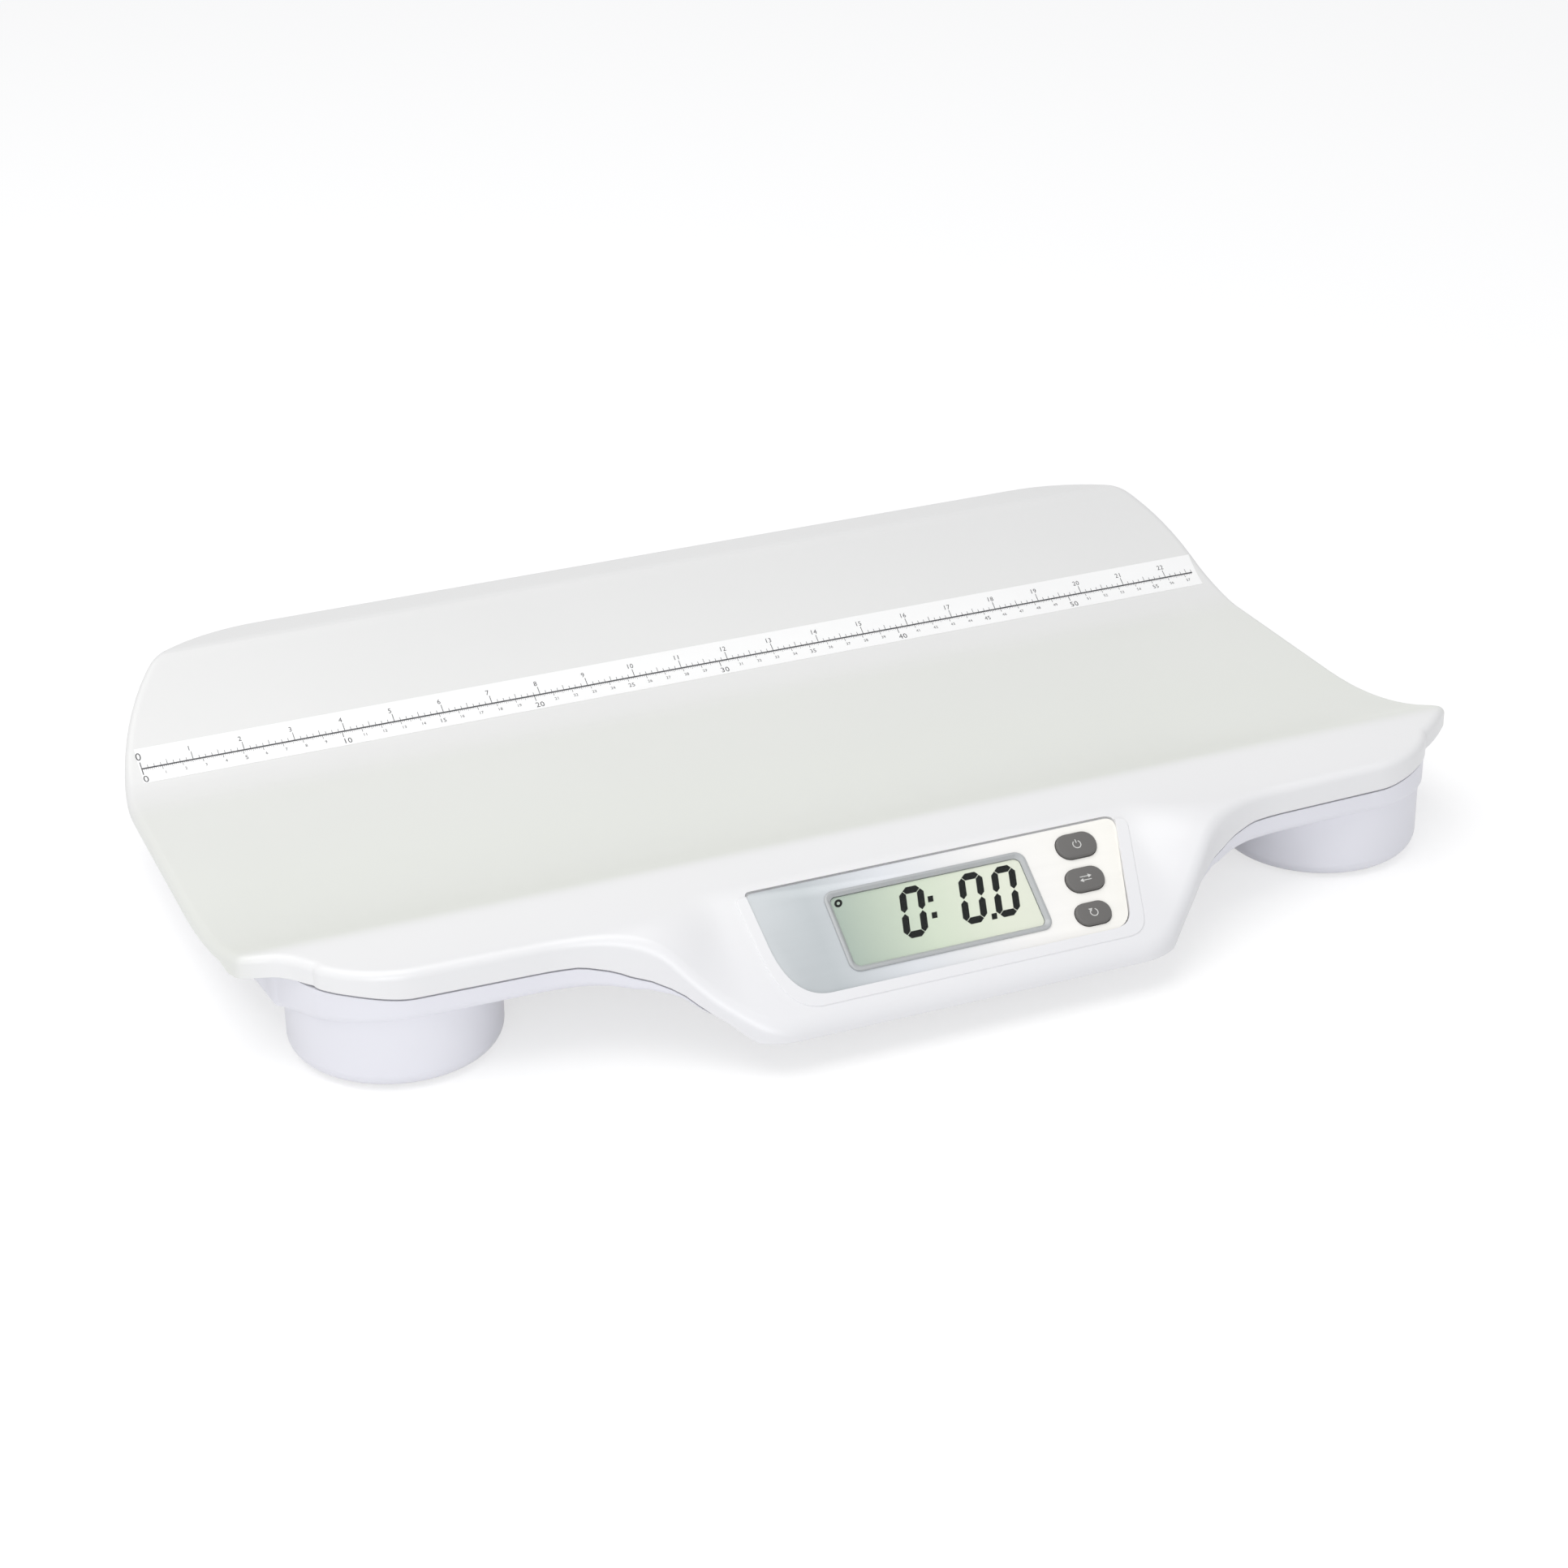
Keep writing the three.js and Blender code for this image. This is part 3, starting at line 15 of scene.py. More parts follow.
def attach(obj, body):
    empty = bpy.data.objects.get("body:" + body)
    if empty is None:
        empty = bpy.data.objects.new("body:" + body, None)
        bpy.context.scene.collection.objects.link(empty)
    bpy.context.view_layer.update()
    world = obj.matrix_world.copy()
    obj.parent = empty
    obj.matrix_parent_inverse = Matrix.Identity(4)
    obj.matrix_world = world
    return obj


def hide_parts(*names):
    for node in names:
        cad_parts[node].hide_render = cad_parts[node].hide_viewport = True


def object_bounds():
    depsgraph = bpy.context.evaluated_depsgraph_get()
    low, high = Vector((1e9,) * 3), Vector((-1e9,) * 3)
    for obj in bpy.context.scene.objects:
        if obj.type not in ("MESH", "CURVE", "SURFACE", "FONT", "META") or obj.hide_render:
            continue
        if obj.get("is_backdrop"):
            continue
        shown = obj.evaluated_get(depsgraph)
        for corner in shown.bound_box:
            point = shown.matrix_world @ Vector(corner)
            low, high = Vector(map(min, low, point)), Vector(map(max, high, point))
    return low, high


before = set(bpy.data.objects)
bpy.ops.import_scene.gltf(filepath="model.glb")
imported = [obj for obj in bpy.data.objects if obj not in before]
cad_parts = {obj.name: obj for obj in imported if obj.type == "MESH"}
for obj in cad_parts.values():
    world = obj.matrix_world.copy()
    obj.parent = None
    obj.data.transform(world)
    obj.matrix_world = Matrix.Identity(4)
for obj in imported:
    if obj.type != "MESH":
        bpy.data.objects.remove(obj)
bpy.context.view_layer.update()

# %% [markdown]
# The camera comes first. The photograph was taken from the left and above, from about 1.7 metres away, with
# a long lens. An azimuth, an elevation and a small roll turn into the camera's three axes.
# %% Camera
CAMERA_PLACE = (-0.60253, -1.39966, 0.79053)
AZIMUTH, ELEVATION, ROLL = -23.04, 26.4, -0.697
SENSOR, LENS = 36, 81.37

bpy.ops.object.camera_add(location=CAMERA_PLACE)
camera = bpy.context.object
azimuth, elevation, roll = (math.radians(v) for v in (AZIMUTH, ELEVATION, ROLL))
backward = Vector((
    math.sin(azimuth) * math.cos(elevation),
    -math.cos(azimuth) * math.cos(elevation),
    math.sin(elevation),
))
level_right = (-backward).cross(Vector((0, 0, 1))).normalized()
level_up = level_right.cross(-backward)
right = math.cos(roll) * level_right + math.sin(roll) * level_up
up = math.cos(roll) * level_up - math.sin(roll) * level_right
camera.rotation_euler = Matrix((right, up, backward)).transposed().to_euler()
camera.data.sensor_width = SENSOR
camera.data.lens = LENS
bpy.context.scene.camera = camera
print("camera at", tuple(round(v, 3) for v in camera.location))

# %% [markdown]
# Sizes are in millimetres, as on the drawing, and become metres when a mesh is made. They are the values of
# the CAD source, apart from the wing tips, which are fuller here. `FRONT_EDGE` runs along the front: the
# distance from the middle, the height of the lip there, and the height of the base's wall below the lip.
# %% Sizes of the moulding
MM = 0.001
DEGREE = math.pi / 180
LENGTH, DEPTH, WALL, GAP = 605, 390.5, 2.8, 0.3
FLOOR_TOP, FLOOR_FRONT, FLOOR_BACK = 34.6, 7.75, 99.75
TROUGH_RADIUS, TROUGH_ANGLE = 235, 25.8 * DEGREE
RAMP_RADIUS, RAMP_ANGLE = 57, 42 * DEGREE
LEDGE_TOP, LEDGE_FALL = 81.6, 0.04
CREST_TOP, CREST_Y, CREST_ROUND, LEDGE_ROUND = 58, -94.45, 5, 3
BACK_TAPER, CORNER_RADIUS, EDGE_ROUND = 3, 90, 4.2
PANEL_Y, PANEL_Z, PANEL_SLOPE, PANEL_SINK = -138.25, 60, 34 * DEGREE, 0.8
APRON_ROUND, SIDE_ROUND, SIDE_HEIGHT, SIDE_Y, SIDE_SLOPE = 6, 15, 42, -174.25, 47.5 * DEGREE
SIDE_START, SIDE_FULL, SHELF_MIDDLE, SHELF_END = 100, 138, 110, 185
SHELF_SLOPE, SHELF_END_SLOPE, APRON_EXTRA = 4.6 * DEGREE, 1.9 * DEGREE, 1.9
APRON_BOTTOM, TIP_RADIUS, TIP_REACH, NECK = 16, 7, 3.2, 19.6
FOOT_X, FOOT_FRONT, FOOT_BACK, FOOT_RADIUS = 233, -92.25, 110, 50
BRIDGE_DROP, BRIDGE_END, ARCH_RADIUS, ARCH_ANGLE, NOSE_RADIUS = 1.5, 188.5, 90, 40 * DEGREE, 30
TIP_Y, TIP_ANGLE = CREST_Y - TIP_REACH + TIP_RADIUS, 45 * DEGREE
LIP_END, LIP_CHANGE, LIP_LENGTH = 6.5, -84, 24
FRONT_EDGE = [
    (100, 10.5, 0), (112, 9, 2.5), (124, 11, 5), (135, 16, 7), (144, 17.4, 8.5),
    (154, 15.5, 9.6), (166, 13.5, 11), (240, 13.5, 11), (265, 11, 12.5), (276, 10.8, 12.7),
]
RAMP_END = FLOOR_BACK + RAMP_RADIUS * math.sin(RAMP_ANGLE)
RAMP_RISE = LEDGE_TOP - FLOOR_TOP - RAMP_RADIUS * (1 - math.cos(RAMP_ANGLE))
REAR_CREST = RAMP_END + RAMP_RISE / math.tan(RAMP_ANGLE)
print("the back slope ends at y", round(REAR_CREST, 2))

# %% [markdown]
# The tray is the same section all along its length: a flat floor, a wide trough in front, a steep slope
# with a ledge behind. The shelf and the apron in front of the crest bend down towards the ends. A handful
# of height functions says all this, and a soft minimum rounds each fold where two surfaces meet.
# %% Heights of the moulding
def ease(value, start, end):
    t = min(max((value - start) / (end - start), 0), 1)
    return t * t * (3 - 2 * t)


def mix(a, b, share):
    return a + (b - a) * share


def quarter_turn(steps):
    return [90 * DEGREE * k / steps for k in range(steps + 1)]


def soft_min(a, b, rounding):
    near = max(rounding - abs(a - b), 0) / rounding
    return min(a, b) - near * near * rounding / 4


def arc_rise(reach, radius, angle):
    end = radius * math.sin(angle)
    if reach <= 0:
        return 0
    if reach < end:
        return radius - math.sqrt(radius * radius - reach * reach)
    return radius * (1 - math.cos(angle)) + (reach - end) * math.tan(angle)


def apron_top(x, y):
    middle = PANEL_Z + PANEL_SINK / math.cos(PANEL_SLOPE) + (y - PANEL_Y) * math.tan(PANEL_SLOPE)
    side = SIDE_HEIGHT + (y - SIDE_Y) * math.tan(SIDE_SLOPE)
    return mix(middle, side, ease(abs(x), SIDE_START, SIDE_FULL))


def top_z(x, y):
    front = arc_rise(FLOOR_FRONT - y, TROUGH_RADIUS, TROUGH_ANGLE)
    back = arc_rise(y - FLOOR_BACK, RAMP_RADIUS, RAMP_ANGLE)
    rise = FLOOR_TOP + front + back
    if y > FLOOR_FRONT:
        ledge = LEDGE_TOP - max(y - REAR_CREST, 0) * LEDGE_FALL
        return soft_min(rise, ledge, LEDGE_ROUND)
    to_end = ease(abs(x), SHELF_MIDDLE, SHELF_END)
    slope = mix(math.tan(SHELF_SLOPE), math.tan(SHELF_END_SLOPE), to_end)
    shelf = CREST_TOP + (CREST_Y - y) * slope
    fold = mix(APRON_ROUND, SIDE_ROUND, ease(abs(x), SIDE_START - 8, SIDE_FULL - 4))
    return soft_min(soft_min(rise, shelf, CREST_ROUND), apron_top(x, y), fold)


def along_front(column, x):
    places = [(place[0], place[column]) for place in FRONT_EDGE]
    if abs(x) <= places[0][0]:
        return places[0][1]
    for (x0, v0), (x1, v1) in zip(places, places[1:]):
        if abs(x) <= x1:
            share = (abs(x) - x0) / (x1 - x0)
            return mix(v0, v1, mix(share, ease(share, 0, 1), 0.5))
    return places[-1][1]


def lip_z(x, y):
    height = mix(along_front(1, x), LIP_END, ease(y, LIP_CHANGE, LIP_CHANGE + LIP_LENGTH))
    return max(top_z(x, y) - height, APRON_BOTTOM)


def ceiling_z(x, y):
    on_apron = 1 - ease(y, PANEL_Y, PANEL_Y + LIP_LENGTH)
    return max(top_z(x, y) - WALL - APRON_EXTRA * on_apron, lip_z(x, y) + GAP)


print("floor", top_z(0, 50), "crest", round(top_z(0, CREST_Y), 2), "panel", round(top_z(0, -160), 2))

# %% [markdown]
# The plan outline runs from the back edge round a wide corner, down the end to the wing tip, round the
# bulge over the front foot, along the bridge and in an S to the nose under the display. It is drawn for the
# right-hand half, one point for each row of the surface.
# %% Plan outline
TRAY_STEPS = {"ramp": 16, "trough": 20, "corner": 24, "tip": 8, "foot": 30, "arch": 14, "nose": 10}
BASE_STEPS = {"ramp": 10, "trough": 10, "corner": 20, "tip": 6, "foot": 24, "arch": 12, "nose": 8}
BASE_IN_END, BASE_IN_NOSE, LEAST_STEP = 15, 6, 0.12
TIP_SWAY, TIP_FALL, TIP_POINTS = 7, 10.35, 16


def section_rows(steps):
    rows = []
    for k in range(steps["ramp"] + 1):
        rows.append(FLOOR_BACK + RAMP_RADIUS * math.sin(RAMP_ANGLE * k / steps["ramp"]))
    for k in range(steps["trough"] + 1):
        rows.append(FLOOR_FRONT - TROUGH_RADIUS * math.sin(TROUGH_ANGLE * k / steps["trough"]))
    rows += [REAR_CREST + step * LEDGE_ROUND / 2 for step in range(-3, 7)]
    return rows + [TIP_Y + 1.5 * step for step in range(1, 9)]


def curve_through(start, corner, end, steps):
    points = []
    for k in range(steps + 1):
        t = k / steps
        a, b, c = (1 - t) ** 2, 2 * t * (1 - t), t * t
        points.append(tuple(a * s + b * m + c * e for s, m, e in zip(start, corner, end)))
    return points


def half_outline(over_end, over_nose, steps):
    end, back, corner = LENGTH / 2 - over_end, DEPTH / 2 - over_end, CORNER_RADIUS - over_end
    corner_x, corner_y = end - BACK_TAPER - corner, back - corner
    points = []
    for angle in reversed(quarter_turn(steps["corner"])):
        points.append((corner_x + corner * math.cos(angle), corner_y + corner * math.sin(angle)))
    for y in section_rows(steps):
        if corner_y < y < back - LEDGE_ROUND:
            points.append((corner_x + math.sqrt(corner * corner - (y - corner_y) ** 2), y))
        elif TIP_Y + GAP < y <= corner_y:
            points.append((end - BACK_TAPER * (y - TIP_Y) / (corner_y - TIP_Y), y))
    points.sort(key=lambda p: -p[1])
    for k in range(steps["tip"] + 1):
        angle = -TIP_ANGLE * k / steps["tip"]
        x = end - TIP_RADIUS + TIP_RADIUS * math.cos(angle)
        points.append((x, TIP_Y + TIP_RADIUS * math.sin(angle)))
    return points + front_outline(over_end, over_nose, steps)


def front_outline(over_end, over_nose, steps):
    neck_y = TIP_Y - TIP_RADIUS
    start = math.asin((neck_y - NECK - FOOT_FRONT) / FOOT_RADIUS)
    waist = FOOT_X + FOOT_RADIUS
    points = []
    if over_end < TIP_RADIUS:
        tip_x = LENGTH / 2 - over_end - TIP_RADIUS * (1 - math.cos(TIP_ANGLE))
        tip = (tip_x, TIP_Y - TIP_RADIUS * math.sin(TIP_ANGLE))
        bulge = (FOOT_X + FOOT_RADIUS * math.cos(start), neck_y - NECK)
        points += curve_through(tip, (waist + TIP_SWAY, neck_y - TIP_FALL), bulge, TIP_POINTS)[1:-1]
    for k in range(steps["foot"] + 1):
        angle = mix(start, -90 * DEGREE, k / steps["foot"])
        points.append((FOOT_X + FOOT_RADIUS * math.cos(angle), FOOT_FRONT + FOOT_RADIUS * math.sin(angle)))
    bridge_y = FOOT_FRONT - FOOT_RADIUS - BRIDGE_DROP
    for k in range(steps["arch"] + 1):
        angle = ARCH_ANGLE * k / steps["arch"]
        across, down = ARCH_RADIUS * math.sin(angle), ARCH_RADIUS * (1 - math.cos(angle))
        points.append((BRIDGE_END - across, bridge_y - down))
    arch_x, arch_y = points[-1]
    front = -DEPTH / 2 + over_nose
    nose_y = front + NOSE_RADIUS * (1 - math.cos(ARCH_ANGLE))
    nose_x = arch_x - (arch_y - nose_y) / math.tan(ARCH_ANGLE)
    for k in range(1, 6):
        points.append((mix(arch_x, nose_x, k / 6), mix(arch_y, nose_y, k / 6)))
    for k in range(steps["nose"] + 1):
        angle = ARCH_ANGLE * (steps["nose"] - k) / steps["nose"]
        x = nose_x - NOSE_RADIUS * (math.sin(ARCH_ANGLE) - math.sin(angle))
        points.append((x, front + NOSE_RADIUS * (1 - math.cos(angle))))
    return points


def spaced(points, least):
    kept = [points[0]]
    for point in points[1:-1]:
        if kept[-1][1] - point[1] > least and point[1] - points[-1][1] > least / 2:
            kept.append(point)
    return kept + [points[-1]]


tray_half = spaced(half_outline(0, 0, TRAY_STEPS), LEAST_STEP)
base_half = spaced(half_outline(BASE_IN_END, BASE_IN_NOSE, BASE_STEPS), LEAST_STEP)
print(len(tray_half), "rows in the tray,", len(base_half), "in the base")

# %% [markdown]
# A surface over such an outline is woven row by row, from the left edge to the right edge, and its rim is
# closed with bands between loops that follow the outline. Blender's operators have no tool for a sheet that
# follows a formula, so such sheets are made in code, and the rest is modelled with hand tools. The tray's
# left wing tip has a notch towards the foot, as in the photograph.
# %% Rows, loops and bands
PLAIN_COLUMNS = [24 * k for k in range(13)]
FRONT_COLUMNS = [8 * k for k in range(10)] + [76 + 3.5 * k for k in range(36)]
FRONT_COLUMNS += [205 + 8 * k for k in range(12)]
LEFT_NOTCH, NOTCH_FRONT, NOTCH_BACK = 7, (-122, -106), (-103, -96)


def columns_at(y, reach):
    spread = PLAIN_COLUMNS if y > CREST_Y + 12 else FRONT_COLUMNS
    return [x for x in spread if x < reach - EDGE_ROUND - 0.6]


def row_between(y, reach):
    columns = columns_at(y, reach)
    return [(-x, y) for x in reversed(columns[1:])] + [(x, y) for x in columns]


def plan_loop(half, notch=0):
    front, back = row_between(*reversed(half[-1])), row_between(*reversed(half[0]))
    left = []
    for x, y in reversed(half):
        depth = notch * ease(y, *NOTCH_FRONT) * (1 - ease(y, *NOTCH_BACK))
        left.append((depth - x, y))
    loop = list(half) + front[::-1] + left + back
    return {"loop": loop, "count": len(half), "front": len(front)}


def inset(plan, distance):
    loop, moved = plan["loop"], []
    for k, (x, y) in enumerate(loop):
        (px, py), (nx, ny) = loop[k - 1], loop[(k + 1) % len(loop)]
        first = Vector((-(py - y), px - x)).normalized()
        second = Vector((-(y - ny), x - nx)).normalized()
        normal = (first + second).normalized()
        stretch = distance / max(normal.dot(first), 0.6)
        moved.append((x + normal.x * stretch, y + normal.y * stretch))
    return moved


def rows_of(plan, loop):
    count = plan["count"]
    left_end = 2 * count + plan["front"]
    rows = []
    for k in range(count):
        right, left = loop[k], loop[left_end - 1 - k]
        middle = row_between(right[1], min(right[0], -left[0]))
        if k == 0:
            middle = loop[left_end:]
        elif k == count - 1:
            middle = loop[count:count + plan["front"]][::-1]
        rows.append([left, *middle, right])
    return rows


def mesh_piece(name, points, faces, edges=()):
    mesh = bpy.data.meshes.new(name)
    mesh.from_pydata(points, edges, faces)
    piece = bpy.data.objects.new(name, mesh)
    bpy.context.scene.collection.objects.link(piece)
    return piece


class Skin:
    def __init__(self):
        self.points, self.index, self.faces = [], {}, []

    def at(self, point):
        key = tuple(round(v, 4) for v in point)
        if key not in self.index:
            self.index[key] = len(self.points)
            self.points.append(key)
        return self.index[key]

    def face(self, corners, flip):
        order = list(dict.fromkeys(self.at(p) for p in corners))
        if len(order) > 2:
            self.faces.append(order[::-1] if flip else order)

    def sheet(self, rows, height, flip=False):
        lifted = [[(x, y, height(x, y)) for x, y in row] for row in rows]
        for back, front in zip(lifted, lifted[1:]):
            i = j = 0
            while i < len(back) - 1 or j < len(front) - 1:
                far = back[i + 1][0] if i < len(back) - 1 else math.inf
                near = front[j + 1][0] if j < len(front) - 1 else math.inf
                if far < math.inf and abs(far - near) < 1e-6:
                    self.face([back[i], front[j], front[j + 1], back[i + 1]], flip)
                    i, j = i + 1, j + 1
                elif far <= near:
                    self.face([back[i], front[j], back[i + 1]], flip)
                    i += 1
                else:
                    self.face([back[i], front[j], front[j + 1]], flip)
                    j += 1

    def band(self, upper, under, flip=False):
        for k in range(len(upper)):
            n = (k + 1) % len(upper)
            self.face([upper[k], upper[n], under[n], under[k]], flip)

    def made(self, name):
        return mesh_piece(name, [[v * MM for v in p] for p in self.points], self.faces)


def lift(loop, height):
    return [(x, y, height(x, y)) for x, y in loop]


# %% [markdown]
# A few helpers for hand modelling. `only` leaves one object selected, because an operator acts on all that
# is selected. `in_edit` runs an operator on the whole mesh, and `bevel_edges` rounds the edges that are
# chosen by their place. `modify` adds a modifier and applies it at once. `carve` is such a boolean, which
# takes its cutter away.
# %% Helpers for modelling
def only(piece):
    bpy.ops.object.select_all(action="DESELECT")
    piece.select_set(True)
    bpy.context.view_layer.objects.active = piece


def in_edit(piece, operator, **settings):
    only(piece)
    bpy.ops.object.mode_set(mode="EDIT")
    bpy.ops.mesh.select_all(action="SELECT")
    operator(**settings)
    bpy.ops.object.mode_set(mode="OBJECT")


def modify(piece, kind, **settings):
    modifier = piece.modifiers.new(kind.lower(), kind)
    for key, value in settings.items():
        setattr(modifier, key, value)
    only(piece)
    bpy.ops.object.modifier_apply(modifier=modifier.name)


def carve(piece, cutter, operation="DIFFERENCE"):
    modify(piece, "BOOLEAN", operation=operation, solver="MANIFOLD", object=cutter)
    bpy.data.objects.remove(cutter)


def soften(piece, width):
    modify(piece, "BEVEL", width=width * MM, segments=2, limit_method="ANGLE", angle_limit=35 * DEGREE)


def smooth(piece, angle=32):
    only(piece)
    bpy.ops.object.shade_smooth_by_angle(angle=angle * DEGREE)


def even_shading(piece):
    modify(piece, "WEIGHTED_NORMAL", keep_sharp=True)


def bevel_edges(piece, chosen, width, segments):
    only(piece)
    bpy.ops.object.mode_set(mode="EDIT")
    bpy.ops.mesh.select_mode(type="EDGE")
    bpy.ops.mesh.select_all(action="DESELECT")
    work = bmesh.from_edit_mesh(piece.data)
    for edge in work.edges:
        edge.select_set(chosen(*(v.co / MM for v in edge.verts)))
    bmesh.update_edit_mesh(piece.data)
    bpy.ops.mesh.bevel(offset=width * MM, segments=segments, affect="EDGES")
    bpy.ops.object.mode_set(mode="OBJECT")


def settled(name):
    piece = bpy.context.object
    piece.name = piece.data.name = name
    bpy.ops.object.transform_apply(location=True, rotation=True, scale=True)
    return piece


def block(name, low, high):
    centre = [(l + h) / 2 * MM for l, h in zip(low, high)]
    bpy.ops.mesh.primitive_cube_add(size=1, location=centre)
    bpy.context.object.scale = [(h - l) * MM for l, h in zip(low, high)]
    return settled(name)


def rounded_bar(name, width, height, radius, low, high, x, y, segments=10):
    piece = block(name, (x - width / 2, y - height / 2, low), (x + width / 2, y + height / 2, high))
    radius = min(radius, width / 2 - 0.01, height / 2 - 0.01)
    bevel_edges(piece, lambda a, b: abs(a.z - b.z) > (high - low) / 2, radius, segments)
    return piece


def drum(name, radius, low, high, x, y, sides=64):
    bpy.ops.mesh.primitive_cylinder_add(
        vertices=sides, radius=radius * MM, depth=(high - low) * MM,
        location=(x * MM, y * MM, (low + high) / 2 * MM),
    )
    return settled(name)


PANEL_PLACE = Matrix.Translation((0, PANEL_Y * MM, PANEL_Z * MM)) @ Matrix.Rotation(PANEL_SLOPE, 4, "X")


def on_panel(piece):
    piece.data.transform(PANEL_PLACE)
    return piece


def dress(piece, material, replaces=(), body="casing"):
    piece.data.materials.clear()
    piece.data.materials.append(material)
    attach(piece, body)
    if replaces:
        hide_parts(*replaces)


# %% [markdown]
# Each finish is a Principled shader with nodes for what the eye finds on the real surface: a little cloud
# in the colour, an uneven gloss and a fine bump. All of them read Object coordinates, so the pattern stays
# on the piece from every side. `fade_along` is a colour that changes along one axis, and `veiled` lays a
# faint cloud over a colour.
# %% Helpers for finishes
BUMP_DEPTH = 0.0001


def shader_of(material):
    return material.node_tree.nodes["Principled BSDF"]


def new_finish(name, colour, rough, metallic=0.0, specular=0.5, coat=0.0):
    material = bpy.data.materials.new(name)
    material.use_nodes = True
    sockets = ("Base Color", "Roughness", "Metallic", "Specular IOR Level", "Coat Weight")
    for socket, value in zip(sockets, ((*colour, 1), rough, metallic, specular, coat)):
        shader_of(material).inputs[socket].default_value = value
    material.diffuse_color = (*colour, 1)
    return material


def node(owner, kind, **values):
    made = owner.node_tree.nodes.new(kind)
    for key, value in values.items():
        if key in made.inputs:
            made.inputs[key].default_value = value
        else:
            setattr(made, key, value)
    return made


def link(owner, start, end):
    owner.node_tree.links.new(start, end)


def into_shader(material, start, socket):
    link(material, start, shader_of(material).inputs[socket])


def noise(material, scale, detail=3.0, stretch=(1, 1, 1)):
    place = node(material, "ShaderNodeTexCoord")
    turn = node(material, "ShaderNodeMapping", Scale=stretch)
    cloud = node(material, "ShaderNodeTexNoise", Scale=scale, Detail=detail)
    link(material, place.outputs["Object"], turn.inputs["Vector"])
    link(material, turn.outputs["Vector"], cloud.inputs["Vector"])
    return cloud.outputs["Fac"]


def mapped(material, source, start, end=(0, 1)):
    made = node(material, "ShaderNodeMapRange")
    for socket, value in zip(("From Min", "From Max", "To Min", "To Max"), (*start, *end)):
        made.inputs[socket].default_value = value
    link(material, source, made.inputs["Value"])
    return made.outputs["Result"]


def ramp(material, source, stops, interpolation="LINEAR"):
    made = node(material, "ShaderNodeValToRGB")
    while len(made.color_ramp.elements) < len(stops):
        made.color_ramp.elements.new(0.5)
    for element, (place, colour) in zip(made.color_ramp.elements, stops):
        element.position = place
        element.color = (*colour, 1)
    made.color_ramp.interpolation = interpolation
    link(material, source, made.inputs["Fac"])
    return made.outputs["Color"]


def fade_along(material, axis, span, stops, interpolation="LINEAR"):
    place = node(material, "ShaderNodeTexCoord")
    axes = node(material, "ShaderNodeSeparateXYZ")
    link(material, place.outputs["Object"], axes.inputs["Vector"])
    return ramp(material, mapped(material, axes.outputs[axis], span), stops, interpolation)


def veiled(material, colour, cloud, span, least):
    veil = ramp(material, cloud, list(zip(span, ((least,) * 3, (1, 1, 1)))))
    tint = node(material, "ShaderNodeMix", data_type="RGBA", blend_type="MULTIPLY", Factor=1)
    link(material, colour, tint.inputs["A"])
    link(material, veil, tint.inputs["B"])
    into_shader(material, tint.outputs["Result"], "Base Color")


def cloudy(material, colour, scale, amount):
    shades = (tuple(min(v * factor, 1) for v in colour) for factor in (1 - amount, 1 + amount))
    into_shader(material, ramp(material, noise(material, scale), list(zip((0.3, 0.7), shades))), "Base Color")


def uneven_gloss(material, rough, scale, amount):
    cloud = noise(material, scale, detail=2.0)
    into_shader(material, mapped(material, cloud, (0.3, 0.7), (rough - amount, rough + amount)), "Roughness")


def fine_bump(material, scale, strength, stretch=(1, 1, 1), detail=5.0):
    bump = node(material, "ShaderNodeBump", Strength=strength, Distance=BUMP_DEPTH)
    link(material, noise(material, scale, detail, stretch), bump.inputs["Height"])
    into_shader(material, bump.outputs["Normal"], "Normal")


def moulded(
    name, colour, rough, specular=0.5, coat=0.0, metallic=0.0, cloud=0.012,
    grain=0.12, grain_scale=900, stretch=(1, 1, 1),
):
    material = new_finish(name, colour, rough, metallic, specular, coat)
    cloudy(material, colour, 9, cloud)
    uneven_gloss(material, rough, 35, min(0.05, rough / 3))
    fine_bump(material, grain_scale, grain, stretch)
    return material


# %% [markdown]
# The tray is glossy white plastic. Its colour follows a gentle curve from the front to the back, which paints
# light and
# shade into it: lightest on the shelf, a darker green-grey on the floor and in the trough behind the crest,
# lighter on the back slope and darker again on the back ledge. A very fine grain breaks the highlights as on
# any large moulding.
# %% Finish of the tray
# Painted light and shade along Y, front to back: lightest on the shelf, darkest green-grey in the trough just
# behind the crest, lighter on the back slope, darker on the back ledge.
TRAY_PAINTED_SHADE_STOPS = [
    (0.00, (0.80, 0.80, 0.815)), (0.24, (0.85, 0.85, 0.85)), (0.285, (0.75, 0.765, 0.715)),
    (0.45, (0.77, 0.785, 0.74)), (0.72, (0.77, 0.78, 0.745)), (0.80, (0.785, 0.785, 0.775)),
    (1.00, (0.75, 0.75, 0.745)),
]
tray_white = new_finish("tray_white", (0.80, 0.80, 0.785), 0.24, specular=0.45)
# The colour ramp along Y that paints the light and shade of the section into the tray's colour.
tray_painted_shade = fade_along(tray_white, "Y", (-0.2, 0.2), TRAY_PAINTED_SHADE_STOPS, "EASE")
veiled(tray_white, tray_painted_shade, noise(tray_white, 6), (0.3, 0.7), 0.985)
uneven_gloss(tray_white, 0.315, 10, 0.03)
fine_bump(tray_white, 1400, 0.04)
base_white = moulded("base_white", (0.79, 0.79, 0.84), 0.36, specular=0.45, grain=0.02, grain_scale=1400)
print("tray and base finishes ready")

# %% [markdown]
# The upper casing is one moulding: tray, shelf and apron, with a rounded edge all round and a lip that
# hangs down to the parting line. The outer surface, the edge, the lip and the inner wall are woven in turn,
# so the shell is closed and has its real wall thickness.
# %% Upper casing shell
RIM_STEPS, LIP_EDGE = 8, 0.5


